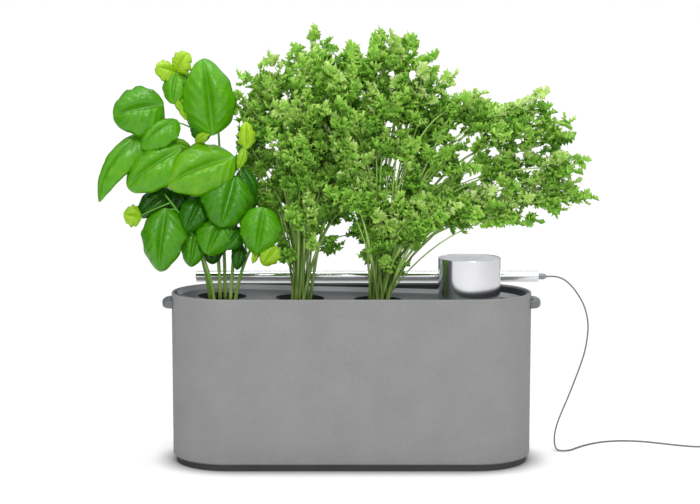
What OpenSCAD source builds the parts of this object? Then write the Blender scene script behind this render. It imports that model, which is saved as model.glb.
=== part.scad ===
// Countertop hydroponic garden: a round-ended outer casing holds a lift-out
// water tank, a sloping deck with three net pots, a water filler under a metal
// cap, and a slim grow lamp on a telescopic mast behind the casing.
// Millimetres. The origin is the centre of the base on the table, +X runs to
// the filler end, +Y to the back, +Z up.

/* [Casing] */
// Length of the casing over its round ends
casing_l = 400; // [380:1:440]
// Depth of the casing, which is also the diameter of its ends
casing_d = 130; // [124:1:140]
// Height of the rim above the table
casing_h = 190; // [170:1:220]
// Thickness of the casing wall
casing_wall = 3; // [2.4:0.1:4]
// Thickness of the casing floor
casing_floor = 3; // [2.5:0.1:5]
// Height of the dark plinth under the casing
plinth_h = 7; // [6:0.5:12]
// How far the plinth is set back from the casing
plinth_inset = 3.5; // [2:0.5:6]
// Rounding of the rim
rim_round = 1.1; // [0.5:0.1:1.2]
// Diameter of each rubber foot
foot_d = 16; // [12:1:20]

/* [Handles] */
// How far each handle stands out of the end wall
handle_reach = 10.5; // [8:0.5:14]
// Height of each handle
handle_h = 14; // [12:0.5:18]
// Width of each handle along the wall
handle_w = 54; // [44:1:64]
// Height of the handle centre below the rim
handle_drop = 11.3; // [10:0.1:20]

/* [Tank] */
// Gap between the casing and what slides into it
slide_gap = 0.5; // [0.3:0.1:1]
// Wall thickness of the tank
tank_wall = 2; // [1.6:0.1:3]
// Height of the tank
tank_h = 161; // [140:1:164]

/* [Deck] */
// Height of the deck floor above the rim of the tank, at the middle
deck_rise = 10; // [8:0.5:12]
// Height of the deck's side wall, which stands on the rim of the tank
deck_h = 17; // [15:0.5:20]
// Slope of the deck floor towards the filler, in degrees
deck_slope = 1.4; // [0.5:0.1:1.6]
// Wall thickness of the deck
deck_wall = 2; // [1.6:0.1:2.4]
// Size of the sloping seal round the deck floor
deck_cove = 4.6; // [3:0.1:6]
// Distance between the pot holes
pot_pitch = 87; // [80:1:90]
// Place of the middle pot along the casing
pot_middle_x = -57; // [-60:1:-54]
// Diameter of the pot holes
pot_hole_d = 54; // [50:1:56]
// Depth of the pot ledge below the deck floor
ledge_drop = 6; // [4:0.5:8]

/* [Pots] */
// Height of a net pot
pot_h = 60; // [50:1:70]
// Diameter of a net pot at its foot
pot_foot_d = 38; // [32:1:42]
// Wall thickness of a net pot
pot_wall = 1.5; // [1.2:0.1:2]
// Number of slots round a net pot
pot_slots = 14; // [10:1:16]
// Depth from the pot flange to the top of the growing plug
plug_drop = 6; // [4:0.5:10]

/* [Filler] */
// Place of the filler along the casing
filler_x = 131; // [128:1:134]
// Radius of the metal filler cap
cap_r = 34.7; // [32:0.1:36]
// Height of the filler cap
cap_h = 48.5; // [40:0.5:60]
// Wall thickness of the filler cap
cap_wall = 1.2; // [1:0.1:2]
// Inner diameter of the filler collar
filler_d = 46; // [40:1:50]
// Depth of the float cage below the deck
cage_h = 118; // [90:1:125]
// Diameter of the water level float
float_d = 36; // [30:1:37]

/* [Lamp] */
// Diameter of the lamp tube
lamp_d = 13; // [12:0.5:16]
// Left end of the lamp tube
lamp_x0 = -179; // [-190:1:-170]
// Right end of the lamp tube
lamp_x1 = 215.5; // [205:0.5:222]
// Height of the lamp axis above the rim at rest
lamp_rise = 5.5; // [4:0.5:10]
// Distance of the lamp axis behind the back wall of the casing
lamp_back = 10; // [9.5:0.5:13]
// Width of the light slot along the lamp
slot_w = 7; // [5:0.5:8]
// Number of light chips along the lamp
chip_count = 26; // [16:1:32]

/* [Mast] */
// Outer diameter of the fixed mast tube
mast_d = 14; // [12:0.5:15]
// Wall thickness of the mast tubes
mast_wall = 1; // [0.8:0.1:1.2]
// Sliding clearance between the mast tubes, each side
mast_gap = 0.15; // [0.1:0.05:0.3]

/* [Lead] */
// Diameter of the lamp lead
cord_d = 1.8; // [1.6:0.1:2]
// Middle diameter of the coiled spare lead
coil_d = 20; // [18:1:21]

/* [Hidden] */

$fn = 64;
// overlap of pieces of one solid, and overshoot of cuts
bite = 0.5;
// seat clearance between pieces that stack
seat = 0.1;

half = (casing_l - casing_d) / 2;      // end centres of the round-ended outline
end_r = casing_d / 2;
inner_r = end_r - casing_wall;
slide_r = inner_r - slide_gap;          // outside of tank and deck
floor_z = plinth_h + casing_floor;      // top of the casing floor
tank_top = floor_z + tank_h;
tank_in_r = slide_r - tank_wall;
deck_z = tank_top + deck_rise;          // deck floor at the middle of its length
deck_top = tank_top + deck_h;
plant_z = deck_top + 2;                 // level that the herbs are placed from
deck_in_r = slide_r - deck_wall;
pot_x = [pot_middle_x - pot_pitch, pot_middle_x, pot_middle_x + pot_pitch];

function deck_floor(x) = deck_z - tan(deck_slope) * x;
function ledge_z(x) = deck_floor(x) - ledge_drop;

flange_t = 1.6;
flange_d = pot_hole_d - 0.6;
ledge_hole_d = pot_hole_d - 5;
pot_mouth_d = ledge_hole_d - 0.8;
function pot_top(x) = ledge_z(x) + seat + flange_t;
function plug_top(x) = pot_top(x) - plug_drop;

screw_d = 3;
screw_head_d = 5.6;
screw_fit = 0.1;

// ---------------------------------------------------------------- outlines

// Flat round-ended outline of radius r
module outline(r) {
    translate([-half, 0]) circle(r, $fn = 128);
    translate([half, 0]) circle(r, $fn = 128);
    translate([-half, -r]) square([2 * half, 2 * r]);
}

// Upright round-ended block
module block(r, z0, z1) {
    translate([0, 0, z0]) linear_extrude(z1 - z0) outline(r);
}

// Upright round-ended ring
module ring(r_out, r_in, z0, z1) {
    translate([0, 0, z0]) linear_extrude(z1 - z0) difference() {
        outline(r_out);
        outline(r_in);
    }
}

// Carries a flat profile of (radius, height) round the round-ended outline
module round_sweep() {
    for (side = [-1, 1]) {
        translate([side * half, 0, 0]) rotate([0, 0, side * 90 - 180])
            rotate_extrude(angle = 180, $fn = 128) children();
    }
    for (turn = [0, 180]) {
        rotate([0, 0, turn]) translate([-half, 0, 0]) rotate([90, 0, 90])
            linear_extrude(2 * half) children();
    }
}

// Round-ended block whose sides lean out by grow over its height
module flared_block(r, grow, h) {
    for (x = [-half, half]) translate([x, 0, 0]) cylinder(h, r, r + grow, $fn = 128);
    translate([-half, 0, 0]) rotate([90, 0, 90]) linear_extrude(2 * half)
        polygon([[-r, 0], [r, 0], [r + grow, h], [-r - grow, h]]);
}

// ------------------------------------------------------------------ casing

// Wall section with a rounded rim and an eased lower edge
module casing_section() {
    low = 1.5;
    difference() {
        translate([inner_r, plinth_h]) square([casing_wall, casing_h - plinth_h]);
        translate([end_r - low, plinth_h - bite]) polygon([[0, bite], [0, 0], [low + bite, 0],
            [low + bite, low + bite], [low, low + bite]]);
        translate([end_r - rim_round, casing_h - rim_round]) rim_cutter();
        translate([inner_r + rim_round, casing_h - rim_round]) mirror([1, 0]) rim_cutter();
    }
}

// What a rounded edge takes off a square corner
module rim_cutter() {
    difference() {
        square(rim_round + bite);
        circle(rim_round, $fn = 32);
    }
}

foot_x = [-125, -42, 42, 125];
foot_y = 34;
foot_t = 2;
base_screw_x = [-150, -84, 0, 84, 150];
bracket_z = [34, casing_h - 18];
bracket_h = 14;
bracket_screw_dx = 14;
mast_x = filler_x;
handle_z = casing_h - handle_drop;
handle_screw_a = 14;

// One screw along +Z: flat head at the bottom, shank upwards
module screw(length, head_h = 1.6) {
    cylinder(head_h, d = screw_head_d, $fn = 32);
    translate([0, 0, head_h - bite]) cylinder(length - head_h + bite, d = screw_d, $fn = 32);
}

// Hole that the screw sits in
module screw_hole(length, head_h = 1.6) {
    translate([0, 0, -bite]) cylinder(head_h + bite + screw_fit, d = screw_head_d + 2 * screw_fit, $fn = 32);
    cylinder(length + screw_fit, d = screw_d + 2 * screw_fit, $fn = 32);
}

handle_screw_l = 9;
module at_handle_screws(side) {
    for (a = [-handle_screw_a, handle_screw_a])
        translate([side * half, 0, handle_z]) rotate([0, 0, (side > 0 ? 0 : 180) + a])
            translate([inner_r + 0.2, 0, 0]) rotate([0, 90, 0]) children();
}

bracket_screw_l = 11;
module at_bracket_screws() {
    for (z = bracket_z, dx = [-bracket_screw_dx, bracket_screw_dx])
        translate([mast_x + dx, end_r - casing_wall + 0.2, z]) rotate([-90, 0, 0]) children();
}

base_screw_l = 7.2;
base_screw_z = 2;
module at_base_screws() {
    for (x = base_screw_x) translate([x, 0, base_screw_z]) children();
}

module outer_casing() {
    color("#939393") difference() {
        union() {
            round_sweep() casing_section();
            block(inner_r + bite, plinth_h, floor_z);
        }
        for (side = [-1, 1]) at_handle_screws(side) screw_hole(handle_screw_l);
        at_bracket_screws() screw_hole(bracket_screw_l);
        at_base_screws() screw_hole(base_screw_l);
    }
}

module base_plate() {
    color("#424242") difference() {
        block(end_r - plinth_inset, 0, plinth_h);
        for (x = foot_x, y = [-foot_y, foot_y])
            translate([x, y, -bite]) cylinder(foot_t + bite, d = foot_d + 0.4);
        translate([0, 0, -base_screw_z]) at_base_screws() cylinder(base_screw_z + bite, d = screw_head_d + 1);
        at_base_screws() screw_hole(base_screw_l);
    }
}

module rubber_feet() {
    color("#1e1e1e") for (x = foot_x, y = [-foot_y, foot_y]) translate([x, y, 0]) difference() {
        cylinder(foot_t, d = foot_d);
        translate([0, 0, -bite]) cylinder(bite + 0.6, d = foot_d - 6);
    }
}

module base_screws() {
    color("#9a9a9a") at_base_screws() screw(base_screw_l);
}

// Ear on the end wall: a half-round lip with a finger groove under it
module handle(side) {
    lip_r = handle_h / 2;
    reach_r = end_r + handle_reach;
    color("#7b8086") difference() {
        translate([side * half, 0, 0]) rotate([0, 0, side > 0 ? 0 : 180]) intersection() {
            rotate([0, 0, -40]) rotate_extrude(angle = 80, $fn = 128) union() {
                translate([reach_r - lip_r, handle_z]) circle(lip_r, $fn = 48);
                translate([end_r, handle_z - lip_r]) square([handle_reach - lip_r, handle_h]);
            }
            difference() {
                translate([end_r / 2, -handle_w / 2, handle_z - handle_h])
                    cube([end_r, handle_w, 2 * handle_h]);
                cylinder(2 * casing_h, r = end_r, $fn = 128);
            }
        }
        translate([side * half, 0, 0]) rotate([0, 0, (side > 0 ? 0 : 180) - 12])
            rotate_extrude(angle = 24, $fn = 128)
                translate([end_r + 2, handle_z - handle_h]) square([handle_reach - 5, handle_h - 1]);
        at_handle_screws(side) screw_hole(handle_screw_l);
    }
}

module left_handle() { handle(-1); }
module right_handle() { handle(1); }

module handle_screws() {
    color("#9a9a9a") for (side = [-1, 1]) at_handle_screws(side) screw(handle_screw_l);
}

// -------------------------------------------------------------------- tank

module tank() {
    color("#3a3d40") union() {
        ring(slide_r, tank_in_r, floor_z, tank_top);
        block(tank_in_r + bite, floor_z, floor_z + tank_wall);
    }
}

// -------------------------------------------------------------------- deck

skirt_h = 6;
skirt_gap = 0.3;
ledge_t = 2;
collar_wall = 2;
cap_seat_z = deck_floor(filler_x - cap_r) + 0.6;
collar_top = cap_seat_z + 4;
cage_flange_t = 1.6;

// Places things on the sloping deck floor
module on_deck_floor() {
    translate([0, 0, deck_z]) rotate([0, deck_slope, 0]) children();
}

// Cup under the deck that a pot flange rests in
module pot_well(x) {
    translate([x, 0, ledge_z(x) - ledge_t])
        cylinder(ledge_drop + ledge_t - deck_wall / 2, d = pot_hole_d + 2 * deck_wall);
}

module pot_well_bore(x) {
    translate([x, 0, ledge_z(x)]) cylinder(deck_h + ledge_drop, d = pot_hole_d);
    translate([x, 0, ledge_z(x) - ledge_t - bite]) cylinder(ledge_t + 2 * bite, d = ledge_hole_d);
}

module deck() {
    color("#4b4f54") difference() {
        union() {
            ring(slide_r, deck_in_r, tank_top, deck_top);
            on_deck_floor() translate([0, 0, -deck_wall]) linear_extrude(deck_wall) outline(deck_in_r + bite);
            // skirt that locates the deck in the tank
            ring(tank_in_r - skirt_gap, tank_in_r - skirt_gap - 1.6, tank_top - skirt_h, tank_top + ledge_t);
            ring(deck_in_r + bite, tank_in_r - skirt_gap - 1.6, tank_top, tank_top + ledge_t);
            for (x = pot_x) pot_well(x);
            // filler collar, and the level seat of the cap round it
            translate([filler_x, 0, cap_seat_z - 8]) cylinder(8, r = cap_r + 1, $fn = 96);
            translate([filler_x, 0, cap_seat_z - bite])
                cylinder(collar_top - cap_seat_z + bite, d = filler_d + 2 * collar_wall, $fn = 96);
        }
        for (x = pot_x) pot_well_bore(x);
        translate([filler_x, 0, 0]) cylinder(deck_top * 2, d = filler_d, $fn = 96);
        // recess of the cage flange
        translate([filler_x, 0, collar_top - cage_flange_t])
            cylinder(cage_flange_t + bite, d = filler_d + collar_wall, $fn = 96);
        // hollow under the cap seat
        translate([filler_x, 0, cap_seat_z - 8 - bite]) difference() {
            cylinder(6 + bite, r = cap_r - 1, $fn = 96);
            cylinder(6 + bite, d = filler_d + 2 * collar_wall, $fn = 96);
        }
    }
}

// Pale seal that lines the edge of the deck floor and slopes down to it, so
// that spilt water runs inwards
seal_gap = 0.15;
seal_land = 0.4;
module deck_seal() {
    seal_in_r = deck_in_r - seal_gap - seal_land - deck_cove;
    color("#8e9297") on_deck_floor() difference() {
        linear_extrude(deck_cove) outline(deck_in_r - seal_gap);
        translate([0, 0, -bite])
            flared_block(seal_in_r - bite, deck_cove + 2 * bite, deck_cove + 2 * bite);
    }
}

// Slotted tube that keeps the float and strains what is poured in
cage_gap = 0.4;
cage_wall = 1.4;
cage_r = filler_d / 2 - cage_gap;
cage_bottom = cap_seat_z - cage_h;
module float_cage() {
    slot_tall = cage_h - 22;
    color("#d8d8d4") difference() {
        union() {
            translate([filler_x, 0, cage_bottom]) cylinder(collar_top - cage_bottom, r = cage_r, $fn = 96);
            translate([filler_x, 0, collar_top - cage_flange_t + seat])
                cylinder(cage_flange_t - seat, d = filler_d + collar_wall - 0.4, $fn = 96);
        }
        translate([filler_x, 0, cage_bottom + cage_wall])
            cylinder(cage_h * 2, r = cage_r - cage_wall, $fn = 96);
        for (a = [0:45:315]) translate([filler_x, 0, cage_bottom + 6]) rotate([0, 0, a])
            translate([cage_r - cage_wall - 1, -3, 0]) cube([cage_wall + 2, 6, slot_tall]);
        translate([filler_x, 0, cage_bottom - bite]) cylinder(cage_wall + 2 * bite, d = 14);
        for (a = [0:60:300]) translate([filler_x, 0, cage_bottom - bite]) rotate([0, 0, a])
            translate([14, 0, 0]) cylinder(cage_wall + 2 * bite, d = 6, $fn = 32);
    }
}

// Hollow puck that rides up the cage with the water
float_h = 14;
module level_float() {
    color("#e2662d") translate([filler_x, 0, cage_bottom + cage_wall]) difference() {
        union() {
            cylinder(float_h - 2, d = float_d);
            translate([0, 0, float_h - 2]) cylinder(2, d1 = float_d, d2 = float_d - 4);
        }
        translate([0, 0, float_h - 4]) cylinder(5, d = 10, $fn = 32);
    }
}

cap_top_t = 1.6;
cap_top_drop = 0.8;
lid_dish = 0.7;
module filler_cap() {
    color("#d9dade") translate([filler_x, 0, cap_seat_z]) rotate_extrude($fn = 128) difference() {
        union() {
            translate([cap_r - cap_wall, 0]) square([cap_wall, cap_h - 0.6]);
            translate([cap_r - cap_wall - 2.2, cap_h - cap_top_t - cap_top_drop - 1.4])
                square([cap_wall + 1.6, 1.4]);
            translate([cap_r - cap_wall / 2, cap_h - cap_wall / 2]) circle(cap_wall / 2, $fn = 24);
        }
    }
}

// Slightly dished lid set into the cap
module cap_top() {
    lid_r = cap_r - cap_wall - 0.05;
    color("#b8b6c1") translate([filler_x, 0, cap_seat_z + cap_h - cap_top_t - cap_top_drop])
        rotate_extrude($fn = 128) polygon([[0, 0], [lid_r, 0], [lid_r, cap_top_t], [lid_r - 3, cap_top_t],
            [0, cap_top_t - lid_dish]]);
}

// -------------------------------------------------------------------- pots

module net_pot(x) {
    top = pot_top(x);
    cup_h = pot_h - flange_t;
    mid_d = (pot_mouth_d + pot_foot_d) / 2;
    slot_h = (cup_h - 16) / 2;
    color("#26282a") translate([x, 0, top]) difference() {
        union() {
            translate([0, 0, -flange_t]) cylinder(flange_t, d = flange_d);
            translate([0, 0, -pot_h]) cylinder(cup_h + bite, d1 = pot_foot_d, d2 = pot_mouth_d);
        }
        translate([0, 0, -pot_h + pot_wall]) cylinder(pot_h - pot_wall - 4, d1 = pot_foot_d - 2 * pot_wall,
            d2 = pot_mouth_d - 2 * pot_wall - 0.6);
        translate([0, 0, -4 - bite]) cylinder(4 + 2 * bite, d = pot_mouth_d - 2 * pot_wall);
        for (i = [0:pot_slots - 1], tier = [0, 1])
            rotate([0, 0, i * 360 / pot_slots]) translate([mid_d / 2 - 5, -1.6, -pot_h + 5 + tier * (slot_h + 4)])
                cube([12, 3.2, slot_h]);
        for (i = [0:5]) rotate([0, 0, i * 60]) translate([pot_foot_d / 2 - 7.5, 0, -pot_h - bite])
            cylinder(pot_wall + 2 * bite, d = 5, $fn = 32);
        translate([0, 0, -pot_h - bite]) cylinder(pot_wall + 2 * bite, d = 8, $fn = 32);
    }
}

module left_net_pot() { net_pot(pot_x[0]); }
module middle_net_pot() { net_pot(pot_x[1]); }
module right_net_pot() { net_pot(pot_x[2]); }

// Plug of growing fibre that the roots are held in
plug_gap = 0.3;
module grow_plug(x) {
    low = pot_top(x) - pot_h + pot_wall;
    color("#4a3526") translate([x, 0, low]) cylinder(plug_top(x) - low,
        d1 = pot_foot_d - 2 * pot_wall - 2 * plug_gap,
        d2 = pot_mouth_d - 2 * pot_wall - 2 * plug_gap - 1.6);
}

module left_grow_plug() { grow_plug(pot_x[0]); }
module middle_grow_plug() { grow_plug(pot_x[1]); }
module right_grow_plug() { grow_plug(pot_x[2]); }

// ------------------------------------------------------------------ plants

function unit(v) = v / norm(v);
function mix(a, b, t) = a + (b - a) * t;
// point at t, from 0 to 1, along a smooth curve through start a, bend b and end c
function bow(a, b, c, t) = mix(mix(a, b, t), mix(b, c, t), t);
function bow_dir(a, b, c, t) = unit(mix(b - a, c - b, t));

// Round stem with sides sides that follows a bow and thins from r0 to r1; its
// first ring lies level
module stem(a, b, c, r0, r1, rings = 6, sides = 5) {
    side_axis = [for (i = [0:rings]) let (d = i == 0 ? [0, 0, 1] : bow_dir(a, b, c, i / rings))
        unit(cross(d, [0, 1, 0.01]))];
    points = [for (i = [0:rings], k = [0:sides - 1])
        let (d = i == 0 ? [0, 0, 1] : bow_dir(a, b, c, i / rings), s = side_axis[i], u = cross(s, d),
             r = mix(r0, r1, i / rings), turn = k * 360 / sides)
        bow(a, b, c, i / rings) + s * r * cos(turn) + u * r * sin(turn)];
    faces = concat(
        [[for (k = [sides - 1:-1:0]) k]],
        [for (i = [0:rings - 1], k = [0:sides - 1]) let (m = (k + 1) % sides)
            [i * sides + m, (i + 1) * sides + m, (i + 1) * sides + k, i * sides + k]],
        [[for (k = [0:sides - 1]) rings * sides + k]]);
    polyhedron(points, faces);
}

// Broad oval leaf from base to tip that faces the given way: arched along its
// length by arch, with sides that drop away from the midrib
leaf_t = 0.9;
leaf_steps = 4;
function leaf_width(u) = pow(sin(180 * pow(u, 0.85)), 0.55) * (1 - 0.1 * u);
module oval_leaf(base, tip, width, face, arch = 0.14, drop = 0.22) {
    a = unit(tip - base);
    s = unit(cross(face, a));
    n = cross(a, s);
    len = norm(tip - base);
    across = [-1, 0, 1];
    rows = [for (i = [0:leaf_steps]) i / leaf_steps];
    function at(u, v, lift) = base + a * len * u + s * width / 2 * v * max(leaf_width(u), 0.04)
        + n * (len * arch * sin(180 * u) - width * drop * abs(v) * leaf_width(u) + lift);
    m = len(across);
    top = [for (u = rows, v = across) at(u, v, leaf_t / 2)];
    low = [for (u = rows, v = across) at(u, v, -leaf_t / 2)];
    k = len(top);
    faces = concat(
        [for (i = [0:leaf_steps - 1], j = [0:m - 2], f = [0, 1]) f == 0
            ? [i * m + j, i * m + j + 1, (i + 1) * m + j]
            : [i * m + j + 1, (i + 1) * m + j + 1, (i + 1) * m + j]],
        [for (i = [0:leaf_steps - 1], j = [0:m - 2], f = [0, 1]) f == 0
            ? [k + i * m + j, k + (i + 1) * m + j, k + i * m + j + 1]
            : [k + i * m + j + 1, k + (i + 1) * m + j, k + (i + 1) * m + j + 1]],
        [for (i = [0:leaf_steps - 1], f = [0, 1]) f == 0
            ? [i * m, (i + 1) * m, k + i * m] : [(i + 1) * m, k + (i + 1) * m, k + i * m]],
        [for (i = [0:leaf_steps - 1], f = [0, 1]) f == 0
            ? [i * m + m - 1, k + i * m + m - 1, (i + 1) * m + m - 1]
            : [(i + 1) * m + m - 1, k + i * m + m - 1, k + (i + 1) * m + m - 1]],
        [for (j = [0:m - 2], f = [0, 1]) f == 0
            ? [j, k + j, j + 1] : [j + 1, k + j, k + j + 1]],
        [for (j = [0:m - 2], f = [0, 1], e = [leaf_steps * m]) f == 0
            ? [e + j, e + j + 1, k + e + j] : [e + j + 1, k + e + j + 1, k + e + j]]);
    polyhedron(concat(top, low), faces);
}

// Basil stems: [bend, end] of each, seen from the middle of its pot hole at
// the level of the rim; the start is spread over the growing plug
basil_stems = [
    [[-2, 0, 120], [-38, 4, 248]],
    [[-18, 4, 80], [-84, 6, 160]],
    [[12, -4, 70], [26, -8, 170]],
    [[-14, -10, 40], [-60, -22, 110]],
    [[16, -8, 30], [48, -18, 70]],
    [[0, 12, 80], [-4, 20, 180]]];
// Basil leaves: [stem, place along it, base, tip, width, facing], measured
// from the same point
basil_leaves = [
    [0, 1.00, [-48, 4, 242], [-69, -8, 249], 28, [-0.1, -1, 0.6]],
    [0, 1.00, [-50, 4, 242], [-36, -6, 264], 29, [-0.2, -1, 0.4]],
    [0, 0.93, [-47, 0, 243], [-52, -14, 210], 30, [-0.1, -1, 0.4]],
    [0, 0.90, [-45, 0, 216], [-37, -10, 192], 13, [0.2, -1, 0.2]],
    [0, 0.75, [-8, -6, 174], [-17, -14, 257], 62, [0.15, -1, 0.25]],
    [1, 0.98, [-62, -2, 208], [-116, -16, 197], 68, [-0.15, -1, 0.45]],
    [0, 0.72, [-47, -8, 191], [-85, -24, 163], 38, [-0.1, -1, 0.7]],
    [1, 0.95, [-81, -4, 179], [-137, -20, 105], 38, [-0.6, -1, 0.5]],
    [0, 0.58, [-42, -16, 161], [-101, -28, 120], 59, [-0.15, -1, 0.45]],
    [2, 0.85, [15, -12, 152], [-56, -38, 125], 62, [0.05, -1, 0.4]],
    [1, 0.60, [-56, -6, 114], [-91, -16, 86], 30, [-0.1, -1, 0.1]],
    [0, 0.40, [-44, -4, 118], [-52, -14, 88], 24, [0, -1, 0.1]],
    [3, 0.95, [-86, -20, 86], [-105, -26, 89], 25, [-0.1, -1, 0.3]],
    [3, 0.85, [-59, -20, 95], [-67, -32, 27], 53, [-0.2, -1, 0.15]],
    [2, 0.55, [-20, -14, 108], [-38, -26, 70], 36, [0.05, -1, 0.15]],
    [2, 0.60, [16, -16, 130], [2, -38, 78], 64, [0.2, -1, 0.3]],
    [3, 0.40, [-27, -12, 69], [-33, -22, 31], 30, [0, -1, 0.25]],
    [5, 0.40, [3, -18, 85], [-14, -32, 46], 46, [0.1, -1, 0.4]],
    [4, 0.60, [23, -16, 73], [6, -30, 52], 26, [0.1, -1, 0.2]],
    [4, 1.00, [49, -31, 97], [40, -40, 47], 48, [0.1, -1, 0.3]],
    [4, 0.90, [62, -33, 55], [47, -38, 35], 24, [0.1, -1, 0.2]],
    [2, 1.00, [30, -12, 160], [29, -14, 189], 20, [0.2, -1, 0.2]],
    [2, 1.00, [28, -12, 161], [20, -16, 138], 12, [0.4, -1, 0.2]],
    [0, 0.70, [-16, 2, 167], [-28, -2, 194], 24, [0.1, -1, 0.3]],
    [2, 0.60, [20, -6, 114], [33, -14, 90], 36, [0.2, -1, 0.3]],
    [4, 0.50, [21, -10, 55], [18, -18, 27], 17, [0.2, -1, 0.1]],
    [5, 0.50, [-10, -4, 59], [-10, -10, 32], 26, [0, -1, 0.2]],
    [5, 0.60, [-5, 22, 119], [-47, 46, 89], 60, [0, 1, 0.5]],
    [0, 0.80, [-29, 10, 218], [-55, 30, 233], 55, [-0.2, 1, 0.8]],
    [1, 0.60, [-54, 8, 139], [-99, 34, 126], 55, [-0.1, 0.8, 0.8]],
    [5, 0.35, [-19, 20, 84], [-58, 44, 57], 50, [-0.2, 1, 0.4]]];

stem_spread = 11;
// start of stem number i of a plant, spread over its plug by the golden angle
function stem_foot(x, i, count) = [x, 0, plug_top(x)]
    + stem_spread * sqrt((i + 0.5) / count) * [cos(i * 137.5), sin(i * 137.5), 0];

module basil_plant() {
    x = pot_x[0];
    home = [x, 0, plant_z];
    count = len(basil_stems);
    color("#4c9a24") union() {
        for (i = [0:count - 1]) let (s = basil_stems[i])
            stem(stem_foot(x, i, count), home + s[0], home + s[1], 2.4, 1.2, 6, 5);
        for (row = basil_leaves) let (s = basil_stems[row[0]],
            from = bow(stem_foot(x, row[0], count), home + s[0], home + s[1], row[1])) {
            petiole(from, home + row[2], home + row[3]);
            oval_leaf(home + row[2], home + row[3], row[4], row[5]);
        }
    }
}

// Thin stalk from a stem into the base of a leaf
module petiole(from, base, tip) {
    into = base + unit(tip - base) * 5;
    hull() {
        translate(from) cube(1.6, center = true);
        translate(into) cube(1.2, center = true);
    }
}

// Parsley fronds: [x, y, z] of each frond's heart from the middle of its pot
// hole at the level of the rim
middle_fronds = [
    [-54, 34, 220], [-38, 38, 242], [-16, 18, 252], [18, 8, 272], [22, -12, 240], [-46, 34, 184],
    [-54, 38, 146], [4, -14, 204], [22, 22, 206], [-34, 32, 112], [10, -24, 160], [-22, 30, 84],
    [18, 20, 112], [10, -18, 92], [-10, -6, 172], [26, 4, 172], [-26, 26, 204], [6, 4, 132]];
right_fronds = [
    [-16, -10, 256], [6, 10, 266], [30, -6, 260], [-12, 20, 210], [8, -22, 212], [54, -10, 226],
    [66, 10, 190], [94, -10, 206], [122, 8, 196], [148, -6, 182], [174, -8, 200], [202, 4, 172],
    [214, -6, 138], [222, -4, 108], [184, 8, 106], [152, 6, 140], [60, 14, 108], [112, 10, 100],
    [146, -8, 92], [-14, -6, 164], [-4, 12, 118], [22, -14, 172],
    [44, -8, 132], [48, 14, 176], [78, -12, 148], [24, -16, 98], [-10, -8, 82], [88, 8, 106]];
frond_r = 24;
frond_lobes = 4;
frond_rise = 12;
frond_t = 1.2;

// Curled frond head: a lobed sheet round the origin whose rim waves up and down
module frond_head(r, lobes) {
    rim = [for (k = [0:2 * lobes - 1]) let (a = k * 180 / lobes, out = k % 2 == 0)
        [r * (out ? 1 : 0.6) * cos(a), r * (out ? 1 : 0.6) * sin(a), r * (k % 4 == 0 ? 0.3 : out ? -0.15 : 0.05)]];
    count = len(rim);
    lift = [0, 0, frond_t];
    points = concat([[0, 0, 0]], rim, [lift], [for (p = rim) p + lift]);
    up = count + 1;
    faces = [for (k = [0:count - 1], f = [0:3]) let (a = 1 + k, b = 1 + (k + 1) % count)
        f == 0 ? [0, a, b] : f == 1 ? [up, up + b, up + a]
        : f == 2 ? [a, up + a, b] : [b, up + a, up + b]];
    polyhedron(points, faces);
}

// One frond: a stem from the plug, and a wide head at its heart
module frond(foot, heart, number) {
    // stems that reach far out rise sooner and arch higher
    far = min(1, abs(heart[0] - foot[0]) / 110);
    bend = [mix(foot[0], heart[0], 0.35 - 0.12 * far), mix(foot[1], heart[1], 0.3),
        mix(foot[2], heart[2], 0.62 + 0.33 * far)];
    stem(foot, bend, heart, 1.3, 0.8, 3, 3);
    hull() {
        translate(heart) cube(1.4, center = true);
        translate(heart + [0, 0, frond_rise]) cube(1, center = true);
    }
    translate(heart) rotate([12, -10, number * 40]) frond_head(frond_r, frond_lobes);
}

module parsley(x, hearts) {
    count = len(hearts);
    color("#5f9c3a") union() for (i = [0:count - 1])
        frond(stem_foot(x, i, count), [x, 0, plant_z] + hearts[i], i);
}

module middle_parsley() { parsley(pot_x[1], middle_fronds); }
module right_parsley() { parsley(pot_x[2], right_fronds); }

// -------------------------------------------------------------------- mast

mast_low = floor_z + 4;
lamp_z = casing_h + lamp_rise;
lamp_y = end_r + lamp_back;
head_r = lamp_d / 2 + 2;
// each tube stands this far out of the one round it, to clear its guide bush
bush_step = 2.6;
middle_top = lamp_z - head_r - bush_step;
mast_top = middle_top - bush_step;
middle_d = mast_d - 2 * mast_wall - 2 * mast_gap;
inner_d = middle_d - 2 * mast_wall - 2 * mast_gap;
flat_share = 0.38;   // each tube's flat lies this share of its diameter behind its axis

// Round section with a flat at the back, which keeps the mast from turning
module keyed(d, keep) {
    intersection() {
        circle(d = d, $fn = 64);
        translate([-d, -d]) square([2 * d, d + keep]);
    }
}
flat_y = mast_d * flat_share;
module keyed_tube(d, inset, z0, z1, wall = mast_wall) {
    translate([mast_x, lamp_y, z0]) linear_extrude(z1 - z0) difference() {
        keyed(d, flat_y - inset);
        keyed(d - 2 * wall, flat_y - inset - wall);
    }
}

bush_h = 2.2;
bracket_gap = 0.1;
module mast_outer_tube() { color("#c4c7ca") keyed_tube(mast_d, 0, mast_low, mast_top); }

// Guide bush on top of a tube: a cap over the tube round the next tube
module guide_bush(outer_d, outer_inset, inner_tube_d, inner_inset, z_top) {
    color("#2b2d30") translate([mast_x, lamp_y, z_top]) difference() {
        translate([0, 0, seat]) linear_extrude(bush_h) keyed(outer_d, flat_y - outer_inset);
        translate([0, 0, -bite]) linear_extrude(4)
            keyed(inner_tube_d + 2 * mast_gap, flat_y - inner_inset + mast_gap);
    }
}

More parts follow.
